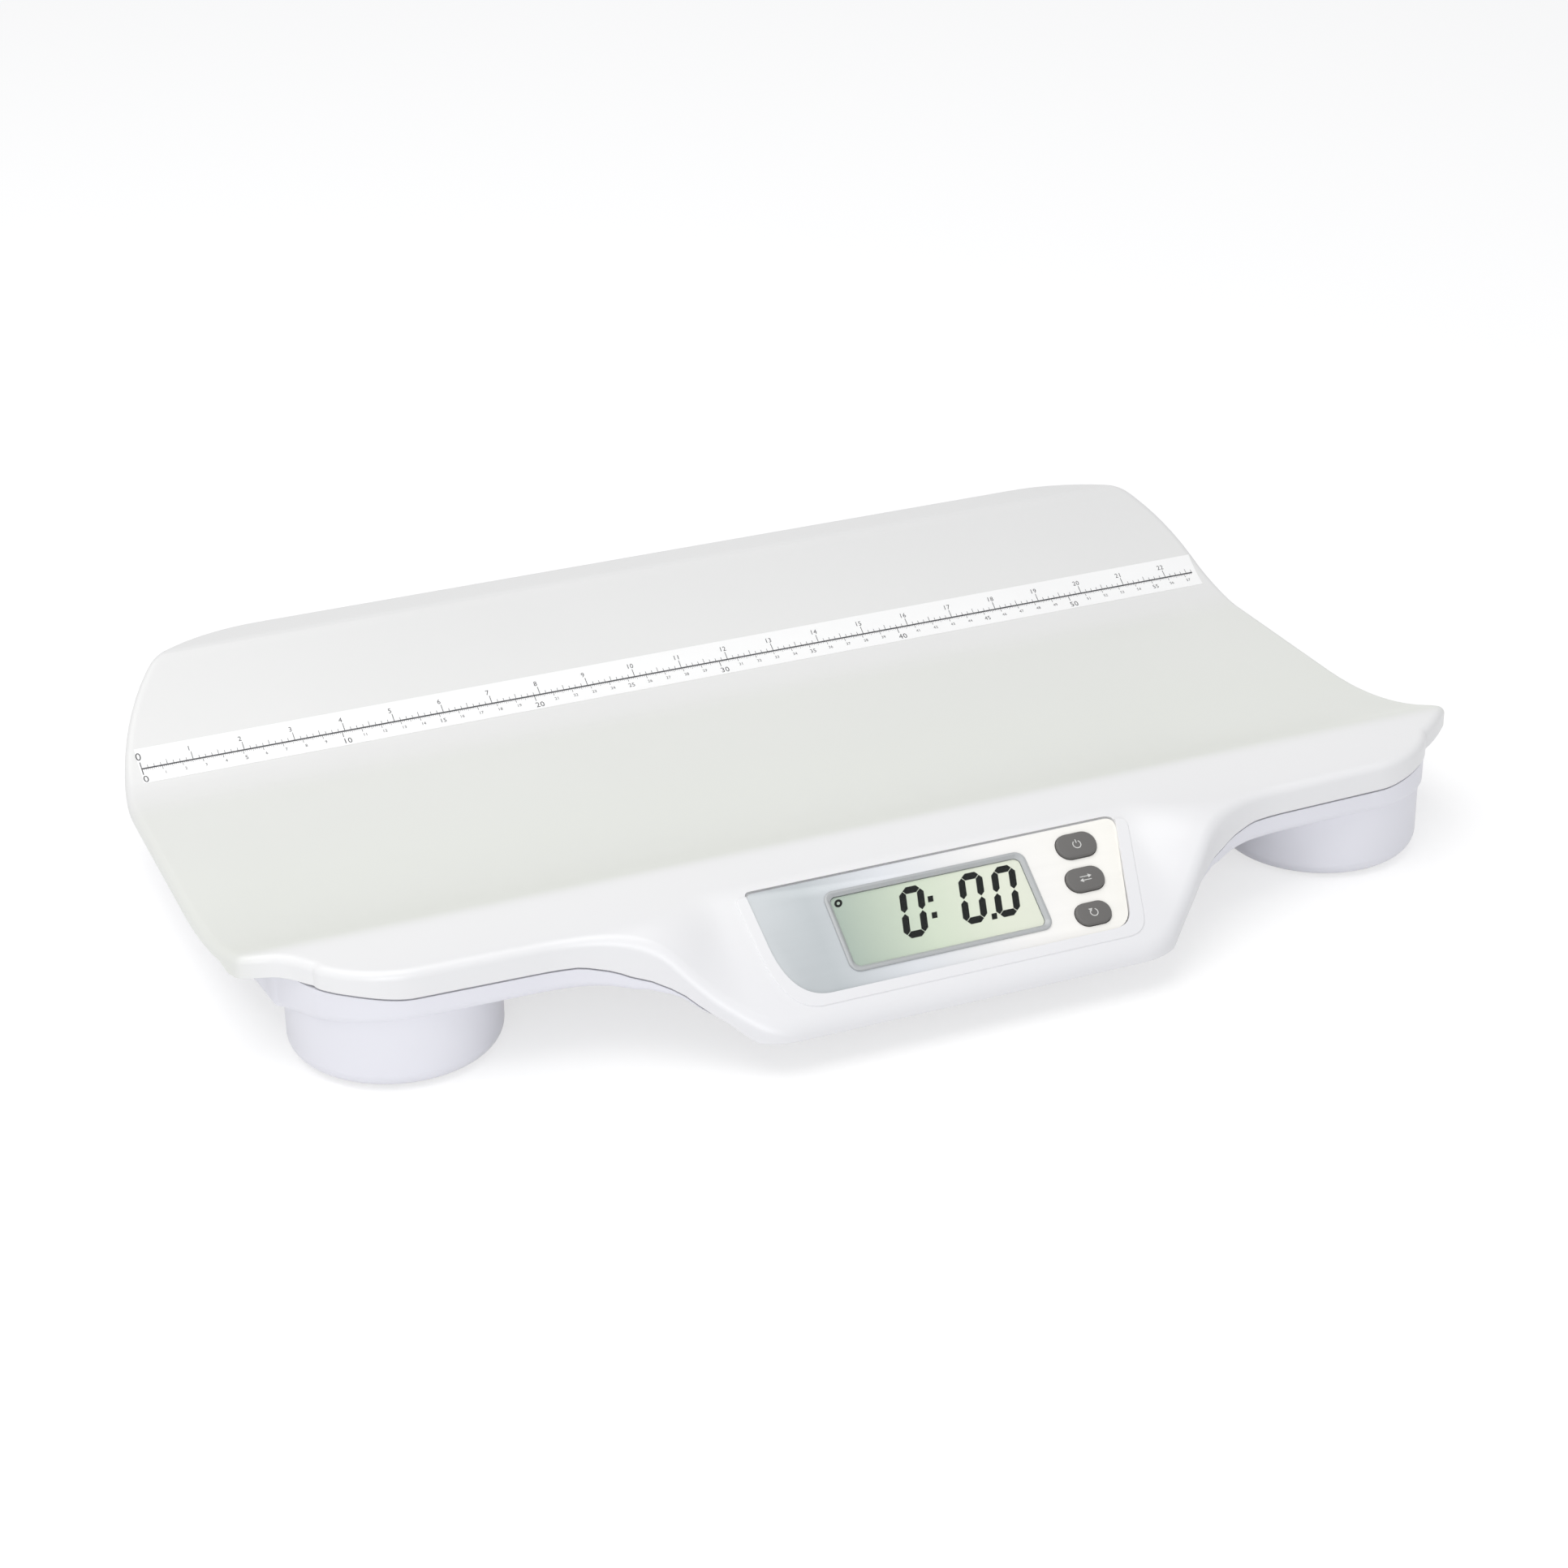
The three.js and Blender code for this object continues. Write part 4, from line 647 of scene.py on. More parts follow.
def upper_shell():
    plan, skin = plan_loop(tray_half, LEFT_NOTCH), Skin()
    rim = []
    for angle in quarter_turn(RIM_STEPS):
        loop = inset(plan, EDGE_ROUND * (1 - math.sin(angle)))
        drop = EDGE_ROUND * (1 - math.cos(angle))
        rim.append(lift(loop, lambda x, y: max(top_z(x, y) - drop, APRON_BOTTOM + GAP)))
    skin.sheet(rows_of(plan, inset(plan, EDGE_ROUND)), top_z)
    for upper, under in zip(rim, rim[1:]):
        skin.band(upper, under)
    low = lift(plan["loop"], lip_z)
    foot_in = [(x, y, z) for (x, y), (_, _, z) in zip(inset(plan, LIP_EDGE), low)]
    lifted = [(x, y, z + LIP_EDGE) for x, y, z in low]
    inner = inset(plan, WALL)
    inner_low = [(x, y, z) for (x, y), (_, _, z) in zip(inner, low)]
    skin.band(rim[-1], lifted)
    skin.band(lifted, foot_in)
    skin.band(foot_in, inner_low)
    skin.band(inner_low, lift(inner, ceiling_z))
    skin.sheet(rows_of(plan, inner), ceiling_z, flip=True)
    return skin.made("tray_moulding")


tray = upper_shell()
print("tray shell", len(tray.data.vertices), "points")

# %% [markdown]
# The display panel needs outlines with swept corners, each given by its start, the point that it bends
# towards, its end and a number of steps. A flat outline becomes a plate when a circle is added with one
# vertex for each point, its vertices are moved to the outline, and the face is extruded. Turned pieces are
# spun from half a profile, as on a lathe.
# %% Plates and turned pieces
def close_up(piece):
    in_edit(piece, bpy.ops.mesh.remove_doubles, threshold=1e-6)
    in_edit(piece, bpy.ops.mesh.normals_make_consistent, inside=False)


def plate(name, outline, low, high):
    bpy.ops.mesh.primitive_circle_add(vertices=len(outline), fill_type="NGON")
    piece = bpy.context.object
    piece.name = piece.data.name = name
    for vertex, (x, y) in zip(piece.data.vertices, outline):
        vertex.co = (x * MM, y * MM, low * MM)
    rise = {"value": (0, 0, (high - low) * MM)}
    in_edit(piece, bpy.ops.mesh.extrude_region_move, TRANSFORM_OT_translate=rise)
    close_up(piece)
    return piece


def turned(name, profile, x, y, steps):
    edges = [(k, k + 1) for k in range(len(profile) - 1)]
    piece = mesh_piece(name, [(r * MM, 0, z * MM) for r, z in profile], [], edges)
    in_edit(piece, bpy.ops.mesh.spin, steps=steps, angle=2 * math.pi, center=(0, 0, 0), axis=(0, 0, 1))
    close_up(piece)
    piece.data.transform(Matrix.Translation((x * MM, y * MM, 0)))
    return piece


def fillet(radius, bottom, size):
    inner = radius - size
    return [(inner + size * math.sin(a), bottom + size * (1 - math.cos(a))) for a in quarter_turn(8)]


PANEL = {"left": -85.4, "right": 96.6, "right_low": 82, "low": -54.6, "corner": 6, "low_corner": 9}
LEFT_TURN, LEFT_LEAN, LEFT_SWEEP, SWEEP_START = (3.4, 0.2, 4), (1.6, 3.5), 22, -28


def panel_outline(margin, top):
    left, right = PANEL["left"] - margin, PANEL["right"] + margin
    low, right_low = PANEL["low"] - margin, PANEL["right_low"] + margin
    r, round_low = PANEL["corner"], PANEL["low_corner"]
    turn_x, lean_x, turn_y = LEFT_TURN
    upper_lean, lower_lean = LEFT_LEAN
    corners = [
        ((left + turn_x, top), (left, top), (left + lean_x, top - turn_y), 8),
        ((left + upper_lean, SWEEP_START), (left + lower_lean, low), (left + LEFT_SWEEP, low), 20),
        ((right_low - round_low, low), (right_low, low), (right_low + round_low / 4, low + round_low), 8),
        ((right - r / 4, top - r), (right, top), (right - r, top), 8),
    ]
    return [point for corner in corners for point in curve_through(*corner)]


# %% [markdown]
# Round the display the casing has a low embossed border, then a recess for the printed overlay, a window
# for the display and three holes for the keys. Each is a plate that is added to the shell or cut from it.
# `KEYS` gives each key's middle, width and height on the panel.
# %% Recess, window and key holes
DISPLAY, WINDOW = (-2.5, -27.5), (94.6, 36.6, 2.4)
KEYS = {"tare": (72.7, -10.5, 19.6, 12.4), "unit": (70, -27.8, 18.6, 11.9), "recall": (67, -45, 17.2, 11.2)}
KEY_CORNER, KEY_CLEARANCE, CASING_FACE = 0.49, 0.35, 0.8
BORDER_MARGIN, BORDER_TOP, RECESS_MARGIN, RECESS_TOP = 5.6, -1.5, 0.35, 1.5
CASING_BACK = CASING_FACE - (WALL + APRON_EXTRA) * math.cos(PANEL_SLOPE)

border = plate("border", panel_outline(BORDER_MARGIN, BORDER_TOP), -0.4, CASING_FACE + 0.5)
bevel_edges(border, lambda a, b: min(a.z, b.z) > CASING_FACE, 0.5, 3)
carve(tray, on_panel(border), "UNION")
carve(tray, on_panel(plate("recess", panel_outline(RECESS_MARGIN, RECESS_TOP), -2.1, 6)))
carve(tray, on_panel(rounded_bar("window", *WINDOW, -8, 0, *DISPLAY)))


def key_bar(name, key, margin, low, high):
    x, y, width, height = KEYS[key]
    corner = KEY_CORNER * height + margin
    return rounded_bar(name, width + 2 * margin, height + 2 * margin, corner, low, high, x, y)


for key in KEYS:
    carve(tray, on_panel(key_bar("key_hole", key, KEY_CLEARANCE, -8, 1)))
print("tray with its openings:", len(tray.data.polygons), "faces")

# %% [markdown]
# Inside, six posts take the screws from below and four short ones carry the display board. They are drums
# that are joined to the shell, each with a bore.
# %% Screw posts of the tray
CASING_SCREWS = [(-150, -64), (150, -64), (-150, 86), (150, 86), (-262, 10), (262, 10)]
BOARD_SCREWS = [(x, y) for x in (-79, 51.725) for y in (-7, -48)]
GLASS, REFLECTOR, FLANGE = 1.9, 2.4, 1.2
BOARD_TOP = CASING_BACK - GAP - GLASS - GAP - REFLECTOR - GAP
LOWER_WALL, SEAT, PLATE_DROP, BOARD_DROP = 2.5, 1.6, 20.5, 29
BOARD_ENDS, BOARD_REAR, NOSE_START, UNDER_ANGLE = (86, 100), (-114, -88), -140, 9.1 * DEGREE


def plate_z(x, y):
    in_x = 1 - ease(abs(x), *BOARD_ENDS)
    in_y = 1 - ease(y, *BOARD_REAR)
    top = top_z(x, y)
    ramp_z = FLOOR_TOP - PLATE_DROP + arc_rise(FLOOR_FRONT - y, TROUGH_RADIUS, UNDER_ANGLE)
    if y > FLOOR_FRONT:
        plain = top - PLATE_DROP
    elif y < NOSE_START:
        plain = min(ramp_z, top - along_front(1, x) - along_front(2, x))
    else:
        plain = ramp_z
    z = mix(plain, min(top - BOARD_DROP, plain), in_x * in_y)
    return max(z, APRON_BOTTOM - 1) if y < PANEL_Y else z


def seat_z(x, y):
    return plate_z(x, y) + LOWER_WALL + SEAT


for x, y in CASING_SCREWS:
    low = seat_z(x, y) + GAP
    post = drum("post", 4.2, low, ceiling_z(x, y) + WALL / 2, x, y, 32)
    carve(post, drum("bore", 1.85, low - 1, low + 7.3, x, y, 24))
    carve(tray, post, "UNION")
for x, y in BOARD_SCREWS:
    post = drum("post", 3.2, BOARD_TOP + GAP, CASING_BACK + GAP, x, y, 24)
    carve(post, drum("bore", 1.4, BOARD_TOP - 1, CASING_BACK - 1, x, y, 16))
    carve(tray, on_panel(post), "UNION")
smooth(tray, 30)
even_shading(tray)
dress(tray, tray_white, replaces=("upper_casing",))
print("tray moulding:", len(tray.data.polygons), "faces")

# %% [markdown]
# The lower casing is a shallow hull that follows the tray, with walls that lean outward at the ends and the
# back, and a softly rounded bottom edge. Four round pedestals and a shallow belly for the batteries grow
# out of it. Outer forms are joined first, then the inner ones are cut away, which leaves an even wall.
# `PEDESTAL` and its room are a radius, the height of the bottom and the size of its rounding.
# %% Lower casing hull
base_plan = plan_loop(base_half)
tray_plan = plan_loop(tray_half, LEFT_NOTCH)
ROOF = LEDGE_TOP + 1
HULL_IN, FLARE, HULL_EDGE, ROOM_EDGE, HULL_STEPS = 0.6, 14.4, 4, 2.2, 6
PEDESTAL, PEDESTAL_ROOM = (47.7, 1, 7.5), (45.2, 3.5, 5)
BELLY_LOW, BAY_MIDDLE = 11.5, 30
PEDESTALS = [(x, y) for y in (FOOT_FRONT, FOOT_BACK) for x in (-FOOT_X, FOOT_X)]


def flared(loop):
    moved = []
    for k, (x, y) in enumerate(loop):
        (px, py), (nx, ny) = loop[k - 1], loop[(k + 1) % len(loop)]
        to_back = max(Vector((py - ny, nx - px)).normalized().y, 0)
        to_side = math.copysign(math.sqrt(1 - to_back * to_back), x)
        reach = FLARE * ease(y, TIP_Y - 4, TIP_Y + 16)
        moved.append((x + reach * to_side, y + reach * to_back))
    return moved


def hull(name, inset_by, bottom, top, edge):
    skin, loop = Skin(), inset(base_plan, inset_by)
    outer = flared(loop)
    skin.sheet(rows_of(base_plan, outer), top)
    above = lift(outer, top)
    for angle in quarter_turn(HULL_STEPS):
        moved = inset(base_plan, inset_by + edge * (1 - math.cos(angle)))
        under = [(x, y, bottom(x, y) + edge * (1 - math.sin(angle))) for x, y in moved]
        skin.band(above, under)
        above = under
    skin.sheet(rows_of(base_plan, moved), bottom, flip=True)
    return skin.made(name)


def pedestal_wall(radius, low, size, x, y):
    profile = [(0, low), *fillet(radius, low, size), (radius, ROOF - 0.5), (0, ROOF - 0.5)]
    return turned("pedestal", profile, x, y, 96)


base = hull("base_moulding", HULL_IN, plate_z, top_z, HULL_EDGE)
for x, y in PEDESTALS:
    carve(base, pedestal_wall(*PEDESTAL, x, y), "UNION")
belly = rounded_bar("belly", 102.4, 97.4, 14, BELLY_LOW, 17, 0, BAY_MIDDLE)
bevel_edges(belly, lambda a, b: max(a.z, b.z) < 12, 2, 4)
carve(base, belly, "UNION")
room_floor, room_roof = lambda x, y: plate_z(x, y) + LOWER_WALL, lambda x, y: top_z(x, y) + 1
carve(base, hull("room", HULL_IN + LOWER_WALL, room_floor, room_roof, ROOM_EDGE))
for x, y in PEDESTALS:
    hollow = pedestal_wall(*PEDESTAL_ROOM, x, y)
    carve(hollow, drum("cup", 24.5, 0, 14.5, x, y))
    carve(base, hollow)
carve(base, rounded_bar("belly_room", 97.4, 92.4, 11.5, 14, FLOOR_TOP - WALL, 0, BAY_MIDDLE))
print("base hull:", len(base.data.polygons), "faces")

# %% [markdown]
# The battery bay hangs in the belly with its two rails for the sliding door. Small seats carry the casing
# screws, four standoffs carry the sensor board, and each pedestal has a pocket for its load cell.
# %% Bay, rails, seats and pockets
BAY_HALF, BAY_WALL, BAY_SIDE, BAY_LOW, BAY_ROOF = 30.2, 1.5, 3, 10.5, 26.5
RAIL, RAIL_LIP, RAIL_REACH, RAIL_TOP, DOOR_THICK = 2.5, 1.2, 2.4, 11.8, 2
POCKET_RADIUS, POCKET_TOP, SLOT_HALF, SLOT_NEAR, SLOT_FAR = 22, 12, 2.5, 21, 25.5
bay_out = BAY_HALF + BAY_WALL
RAIL_X, DOOR_Y = bay_out + BAY_SIDE + GAP, bay_out + BAY_SIDE
DOOR_TOP = BELLY_LOW - GAP
DOOR_BOTTOM = DOOR_TOP - DOOR_THICK
lip_low = DOOR_BOTTOM - GAP - RAIL_LIP
bay_front, bay_back = BAY_MIDDLE - bay_out, BAY_MIDDLE + bay_out
rail_front, rail_back = BAY_MIDDLE - DOOR_Y - GAP - RAIL, BAY_MIDDLE + DOOR_Y
fixtures = [block("bay", (-bay_out, bay_front, BELLY_LOW), (bay_out, bay_back, BAY_ROOF + BAY_WALL))]
for side in (-1, 1):
    inner, outer, edge = side * RAIL_X, side * (RAIL_X + RAIL), side * (RAIL_X - RAIL_REACH)
    for name, (left, right), top in (
        ("rail", sorted((inner, outer)), RAIL_TOP), ("rail_lip", sorted((edge, outer)), lip_low + RAIL_LIP),
    ):
        fixtures.append(block(name, (left, rail_front, lip_low), (right, rail_back, top)))
fixtures.append(block("stop", (-RAIL_X, rail_front, DOOR_BOTTOM), (RAIL_X, rail_front + RAIL, RAIL_TOP)))
for x, y in CASING_SCREWS:
    fixtures.append(drum("seat", 6, plate_z(x, y) + GAP, seat_z(x, y), x, y, 32))
for x in (79, 141):
    for y in (14, 54):
        fixtures.append(drum("standoff", 3, plate_z(x, y) + GAP, 17.7, x, y, 20))
for fixture in fixtures:
    carve(base, fixture, "UNION")
bay_front, bay_back = BAY_MIDDLE - BAY_HALF, BAY_MIDDLE + BAY_HALF
carve(base, block("bay_room", (-BAY_HALF, bay_front, BAY_LOW), (BAY_HALF, bay_back, BAY_ROOF)))
for x, y in PEDESTALS:
    carve(base, drum("pocket", POCKET_RADIUS, -1, POCKET_TOP, x, y, 64))
    low_y, high_y = (y - SLOT_FAR, y - SLOT_NEAR) if y > 0 else (y + SLOT_NEAR, y + SLOT_FAR)
    carve(base, block("lead_slot", (x - SLOT_HALF, low_y, 7.6), (x + SLOT_HALF, high_y, 15.5)))
for x, y in CASING_SCREWS:
    carve(base, drum("bore", 1.85, plate_z(x, y) - 1, seat_z(x, y) + 1, x, y, 24))
    carve(base, drum("well", 3.5, plate_z(x, y) - 1, seat_z(x, y) - SEAT, x, y, 32))
print("base with bay:", len(base.data.polygons), "faces")

# %% [markdown]
# Last, what the tray takes up is cut off the top of the base, with a groove of just under a millimetre
# below the lip. That groove is the thin dark parting line which runs round the whole scale.
# %% Trim the base to the tray
PARTING = 0.8


def upper_ring():
    ring = Skin()
    low = [lip_z(x, y) - PARTING for x, y in tray_plan["loop"]]
    outer, inner = inset(tray_plan, -1), inset(tray_plan, WALL + 2 * GAP)
    loops = [
        [(*p, ROOF) for p in outer], [(*p, z) for p, z in zip(outer, low)],
        [(*p, z) for p, z in zip(inner, low)], [(*p, ROOF) for p in inner],
    ]
    for k in range(4):
        ring.band(loops[k], loops[(k + 1) % 4])
    return ring.made("ring")


def upper_slab():
    slab = Skin()
    edge = inset(tray_plan, WALL)
    slab.sheet(rows_of(tray_plan, edge), lambda x, y: ROOF)
    slab.band([(*p, ROOF) for p in edge], lift(edge, lambda x, y: ceiling_z(x, y) - GAP))
    slab.sheet(rows_of(tray_plan, edge), lambda x, y: ceiling_z(x, y) - GAP, flip=True)
    return slab.made("slab")


carve(base, upper_ring())
carve(base, upper_slab())
smooth(base, 30)
even_shading(base)
dress(base, base_white, replaces=("lower_casing",))
print("base moulding:", len(base.data.polygons), "faces")

# %% [markdown]
# The overlay is a printed film in the recess. Its left part is silver, which fades into a warm white
# towards the keys. A ramp along X gives that fade, and a fine stretched noise gives the brushed look of
# silver ink.
# %% Overlay
FADE_STOPS = [
    (0.0, (0.51, 0.535, 0.55)), (0.16, (0.49, 0.525, 0.54)), (0.36, (0.71, 0.73, 0.76)),
    (0.66, (0.89, 0.88, 0.86)), (1.0, (0.97, 0.955, 0.89)),
]
silver_fade = new_finish("silver_fade", (0.8, 0.8, 0.78), 0.34, metallic=0.1, specular=0.4)
fade = fade_along(silver_fade, "X", (-0.09, 0.1), FADE_STOPS)
fibre = noise(silver_fade, 180, detail=4, stretch=(0.06, 1, 1))
veiled(silver_fade, fade, fibre, (0.35, 0.65), 0.98)
uneven_gloss(silver_fade, 0.34, 30, 0.04)
fine_bump(silver_fade, 80, 0.2, detail=2.0)

overlay = plate("panel_film", panel_outline(0, 0), -0.8, 0)
bevel_edges(overlay, lambda a, b: min(a.z, b.z) > -0.1, 0.15, 2)
carve(overlay, rounded_bar("view_hole", *WINDOW, -2, 1, *DISPLAY))
for key in KEYS:
    carve(overlay, key_bar("key_hole", key, KEY_CLEARANCE, -2, 1))
smooth(overlay)
dress(on_panel(overlay), silver_fade, replaces=("panel_overlay",))
print("overlay film:", len(overlay.data.polygons), "faces")

# %% [markdown]
# The display window has a silver frame with a sloping inner edge, a clear lens, and behind it the liquid
# crystal, whose colour runs from a darker teal on the left to a light yellow-green on the right.
# %% Frame, lens and liquid crystal
OPENING, FRAME_FACE, CUT_LOW, CUT_HIGH = (93, 35.2, 3), 1, -0.1, 1.2


def flare_top(piece, low, high, shares):
    for vertex in piece.data.vertices:
        rise = max((vertex.co.z / MM - low) / (high - low), 0)
        for axis, share in enumerate(shares):
            middle = DISPLAY[axis] * MM
            vertex.co[axis] = middle + (vertex.co[axis] - middle) * mix(1, share, rise)


bezel = rounded_bar("display_frame", 98.6, 40.6, 5, 0.02, FRAME_FACE, *DISPLAY)
bevel_edges(bezel, lambda a, b: min(a.z, b.z) > FRAME_FACE - 0.1, 0.7, 5)
carve(bezel, rounded_bar("sleeve", 94, 36, 3.2, -2.79, 0.3, *DISPLAY), "UNION")
carve(bezel, rounded_bar("opening", *OPENING, -3.5, 0.1, *DISPLAY))
slope_cut = rounded_bar("slope_cut", *OPENING, CUT_LOW, CUT_HIGH, *DISPLAY)
flare_top(slope_cut, CUT_LOW, CUT_HIGH, (1.034, 1.085))
carve(bezel, slope_cut)
smooth(bezel, 35)
silver = moulded("bezel_silver_finish", (0.425, 0.44, 0.445), 0.36, metallic=0.1, cloud=0.02, grain=0.03)
dress(on_panel(bezel), silver, replaces=("display_bezel",))

lens = rounded_bar("display_window", 92.7, 34.9, 2.85, -0.62, -0.3, *DISPLAY)
soften(lens, 0.08)
clear = new_finish("clear_lens_finish", (0.25, 0.27, 0.26), 0.06)
uneven_gloss(clear, 0.06, 40, 0.02)
fine_bump(clear, 400, 0.02)
shader_of(clear).inputs["Alpha"].default_value = 0.03
dress(on_panel(lens), clear, replaces=("display_lens",))

GLASS_TOP, PANE_FRONT = CASING_BACK - GAP, -0.8
pane = block("liquid_crystal", (-52, -48, GLASS_TOP - GLASS), (47, -7, GLASS_TOP))
carve(pane, rounded_bar("front", 92.6, 34.8, 2.8, GLASS_TOP - 0.5, PANE_FRONT, *DISPLAY), "UNION")
soften(pane, 0.12)
CRYSTAL_STOPS = [
    (0.0, (0.42, 0.505, 0.435)), (0.45, (0.69, 0.775, 0.62)), (0.8, (0.82, 0.86, 0.72)),
    (1.0, (0.83, 0.86, 0.73)),
]
crystal = new_finish("crystal_finish", (0.6, 0.7, 0.6), 0.3, specular=0.3)
into_shader(crystal, fade_along(crystal, "X", (-0.05, 0.045), CRYSTAL_STOPS), "Base Color")
uneven_gloss(crystal, 0.33, 80, 0.04)
fine_bump(crystal, 1200, 0.05)
dress(on_panel(pane), crystal, replaces=("lcd_glass",))
print("display frame, lens and crystal are in place")

# %% [markdown]
# Figures repeat, so each shape is modelled once and stamped many times into one mesh. A bar of a digit is a
# long hexagon. The slant of the digits is a shear in the stamp's matrix.
# %% Stamping shapes into one mesh
class Stamp:
    def __init__(self):
        self.points, self.faces = [], []

    def add(self, shape, matrix):
        start = len(self.points)
        self.points += [matrix @ Vector(p) for p in shape[0]]
        self.faces += [[start + k for k in face] for face in shape[1]]

    def made(self, name):
        made = mesh_piece(name, self.points, self.faces)
        close_up(made)
        return made


def shape_of(piece):
    shape = ([tuple(v.co) for v in piece.data.vertices], [list(p.vertices) for p in piece.data.polygons])
    bpy.data.objects.remove(piece)
    return shape


def bar_shape(length, width, thick):
    half, side = length / 2, width / 2
    upper = [(half, 0), (half - side, side), (side - half, side)]
    outline = [(-half, 0), (side - half, -side), (half - side, -side), *upper]
    return shape_of(plate("bar", outline, 0, thick))


def placed(x, y, z=0.0, turn=0.0):
    return Matrix.Translation((x * MM, y * MM, z * MM)) @ Matrix.Rotation(turn, 4, "Z")


# %% [markdown]
# The display shows zeros of six slanted bars each, without the middle one, a colon, a decimal point and a
# small ring that means the load is steady.
# %% Digits of the display
DIGIT_WIDTH, DIGIT_HEIGHT, BAR, SLANT, INK = 11.9, 24.8, 3.3, 0.26, 0.06
DIGITS = [(-13.3, -24.8), (15.8, -24.4), (32.0, -24.5)]
DOTS, STEADY_RING = ((-3.4, -20.5), (-4.6, -28.6), (22.1, -35.4)), (-45.3, -13.1)
INK_LEVEL = PANE_FRONT + 0.01
segments = Stamp()
side_bar = bar_shape((DIGIT_HEIGHT - BAR) / 2 - 0.5, BAR, INK)
end_bar = bar_shape(DIGIT_WIDTH - BAR - 0.4, BAR, INK)
slanted = Matrix(((1, SLANT, 0, 0), (0, 1, 0, 0), (0, 0, 1, 0), (0, 0, 0, 1)))
across, along = (DIGIT_WIDTH - BAR) / 2, (DIGIT_HEIGHT - BAR) / 4
for x, y in DIGITS:
    digit = placed(x, y, INK_LEVEL) @ slanted
    for side in (-1, 1):
        for half in (-1, 1):
            segments.add(side_bar, digit @ placed(side * across, half * along, turn=90 * DEGREE))
        segments.add(end_bar, digit @ placed(0, side * 2 * along))
dot = shape_of(block("dot", (-1.3, -1.45, 0), (1.3, 1.45, INK)))
for x, y in DOTS:
    segments.add(dot, placed(x, y, INK_LEVEL) @ slanted)
ring = turned("ring", [(0.8, 0), (1.9, 0), (1.9, INK), (0.8, INK), (0.8, 0)], 0, 0, 24)
segments.add(shape_of(ring), placed(*STEADY_RING, INK_LEVEL) @ slanted)
digits = segments.made("display_digits")
black_ink = moulded("segment_ink", (0.006, 0.007, 0.0065), 0.5, specular=0.05, cloud=0.1, grain=0.05)
dress(on_panel(digits), black_ink)
print("digits:", len(digits.data.polygons), "faces")

# %% [markdown]
# The keys are dark soft plastic. Each carries a small pale sign instead of a word: a power ring, two arrows,
# and a turning arrow. A sign is drawn with strokes of one width and small arrow heads.
# %% Signs of the keys
SIGN_HEIGHT, ARROW, ARC_STEPS = 0.05, 1.1, 20


def stroke(points, width):
    shape, faces = [], []
    for k, (x, y) in enumerate(points):
        (ax, ay), (bx, by) = points[max(k - 1, 0)], points[min(k + 1, len(points) - 1)]
        side = Vector((ay - by, bx - ax)).normalized() * width / 2
        for z in (0, SIGN_HEIGHT):
            for way in (-1, 1):
                shape.append(((x + way * side.x) * MM, (y + way * side.y) * MM, z * MM))
    last = 4 * len(points) - 4
    for a in range(0, last, 4):
        b = a + 4
        faces += [[a, b, b + 1, a + 1], [a + 2, a + 3, b + 3, b + 2]]
        faces += [[a, a + 2, b + 2, b], [a + 1, b + 1, b + 3, a + 3]]
    return shape, faces + [[0, 1, 3, 2], [last, last + 2, last + 3, last + 1]]


def arc(radius, start, end):
    turns = [mix(start, end, k / ARC_STEPS) * DEGREE for k in range(ARC_STEPS + 1)]
    return [(radius * math.cos(t), radius * math.sin(t)) for t in turns]


def arrow(x, y, angle):
    head = [(ARROW, 0), (-ARROW * 0.6, ARROW * 0.9), (-ARROW * 0.6, -ARROW * 0.9)]
    points, faces = shape_of(plate("head", head, 0, SIGN_HEIGHT))
    turn = placed(x, y, turn=angle * DEGREE)
    return [tuple(turn @ Vector(p)) for p in points], faces


SIGNS = {
    "tare": [stroke(arc(1.9, 125, 415), 0.45), stroke([(0, 0.7), (0, 2.5)], 0.45)],
    "unit": [
        stroke([(-2.6, 0.9), (1.6, 0.9)], 0.4), arrow(2.1, 0.9, 0),
        stroke([(2.6, -0.9), (-1.6, -0.9)], 0.4), arrow(-2.1, -0.9, 180),
    ],
    "recall": [stroke(arc(1.8, 60, -230), 0.45), arrow(-1.05, 1.55, 30)],
}
print("signs:", {key: len(shapes) for key, shapes in SIGNS.items()})

# %% [markdown]
# A key stands a little proud of the panel. A flange below keeps it in, and a stem presses the switch.
# %% Keys
KEY_DARK = (0.135, 0.131, 0.126)
key_dark = moulded("key_dark", KEY_DARK, 0.45, specular=0.4, cloud=0.05, grain=0.1, grain_scale=600)
key_ink = moulded("key_ink", (0.62, 0.62, 0.6), 0.5, cloud=0.05, grain=0.1)
FLANGE_LOW, FLANGE_MARGIN, KEY_TOP = CASING_BACK - GAP - FLANGE, 1.6, 1.7
SWITCH_BODY, SWITCH_TIP, TRAVEL = 1.6, 0.5, 0.6
STEM_END = BOARD_TOP + GAP + SWITCH_BODY + SWITCH_TIP + TRAVEL + GAP
for key, (x, y, _, _) in KEYS.items():
    cap = key_bar("key_" + key, key, 0, FLANGE_LOW, KEY_TOP)
    bevel_edges(cap, lambda a, b: min(a.z, b.z) > KEY_TOP - 0.1, 0.85, 5)
    carve(cap, key_bar("flange", key, FLANGE_MARGIN, FLANGE_LOW, FLANGE_LOW + FLANGE), "UNION")
    carve(cap, drum("stem", 2, STEM_END, FLANGE_LOW + 0.3, x, y, 32), "UNION")
    smooth(cap, 30)
    dress(on_panel(cap), key_dark, ("button_" + key,), key + "_key")
    sign = Stamp()
    for shape in SIGNS[key]:
        sign.add(shape, placed(x, y, KEY_TOP + 0.005))
    dress(on_panel(sign.made("sign_" + key)), key_ink, body=key + "_key")
print("keys:", ", ".join(KEYS))

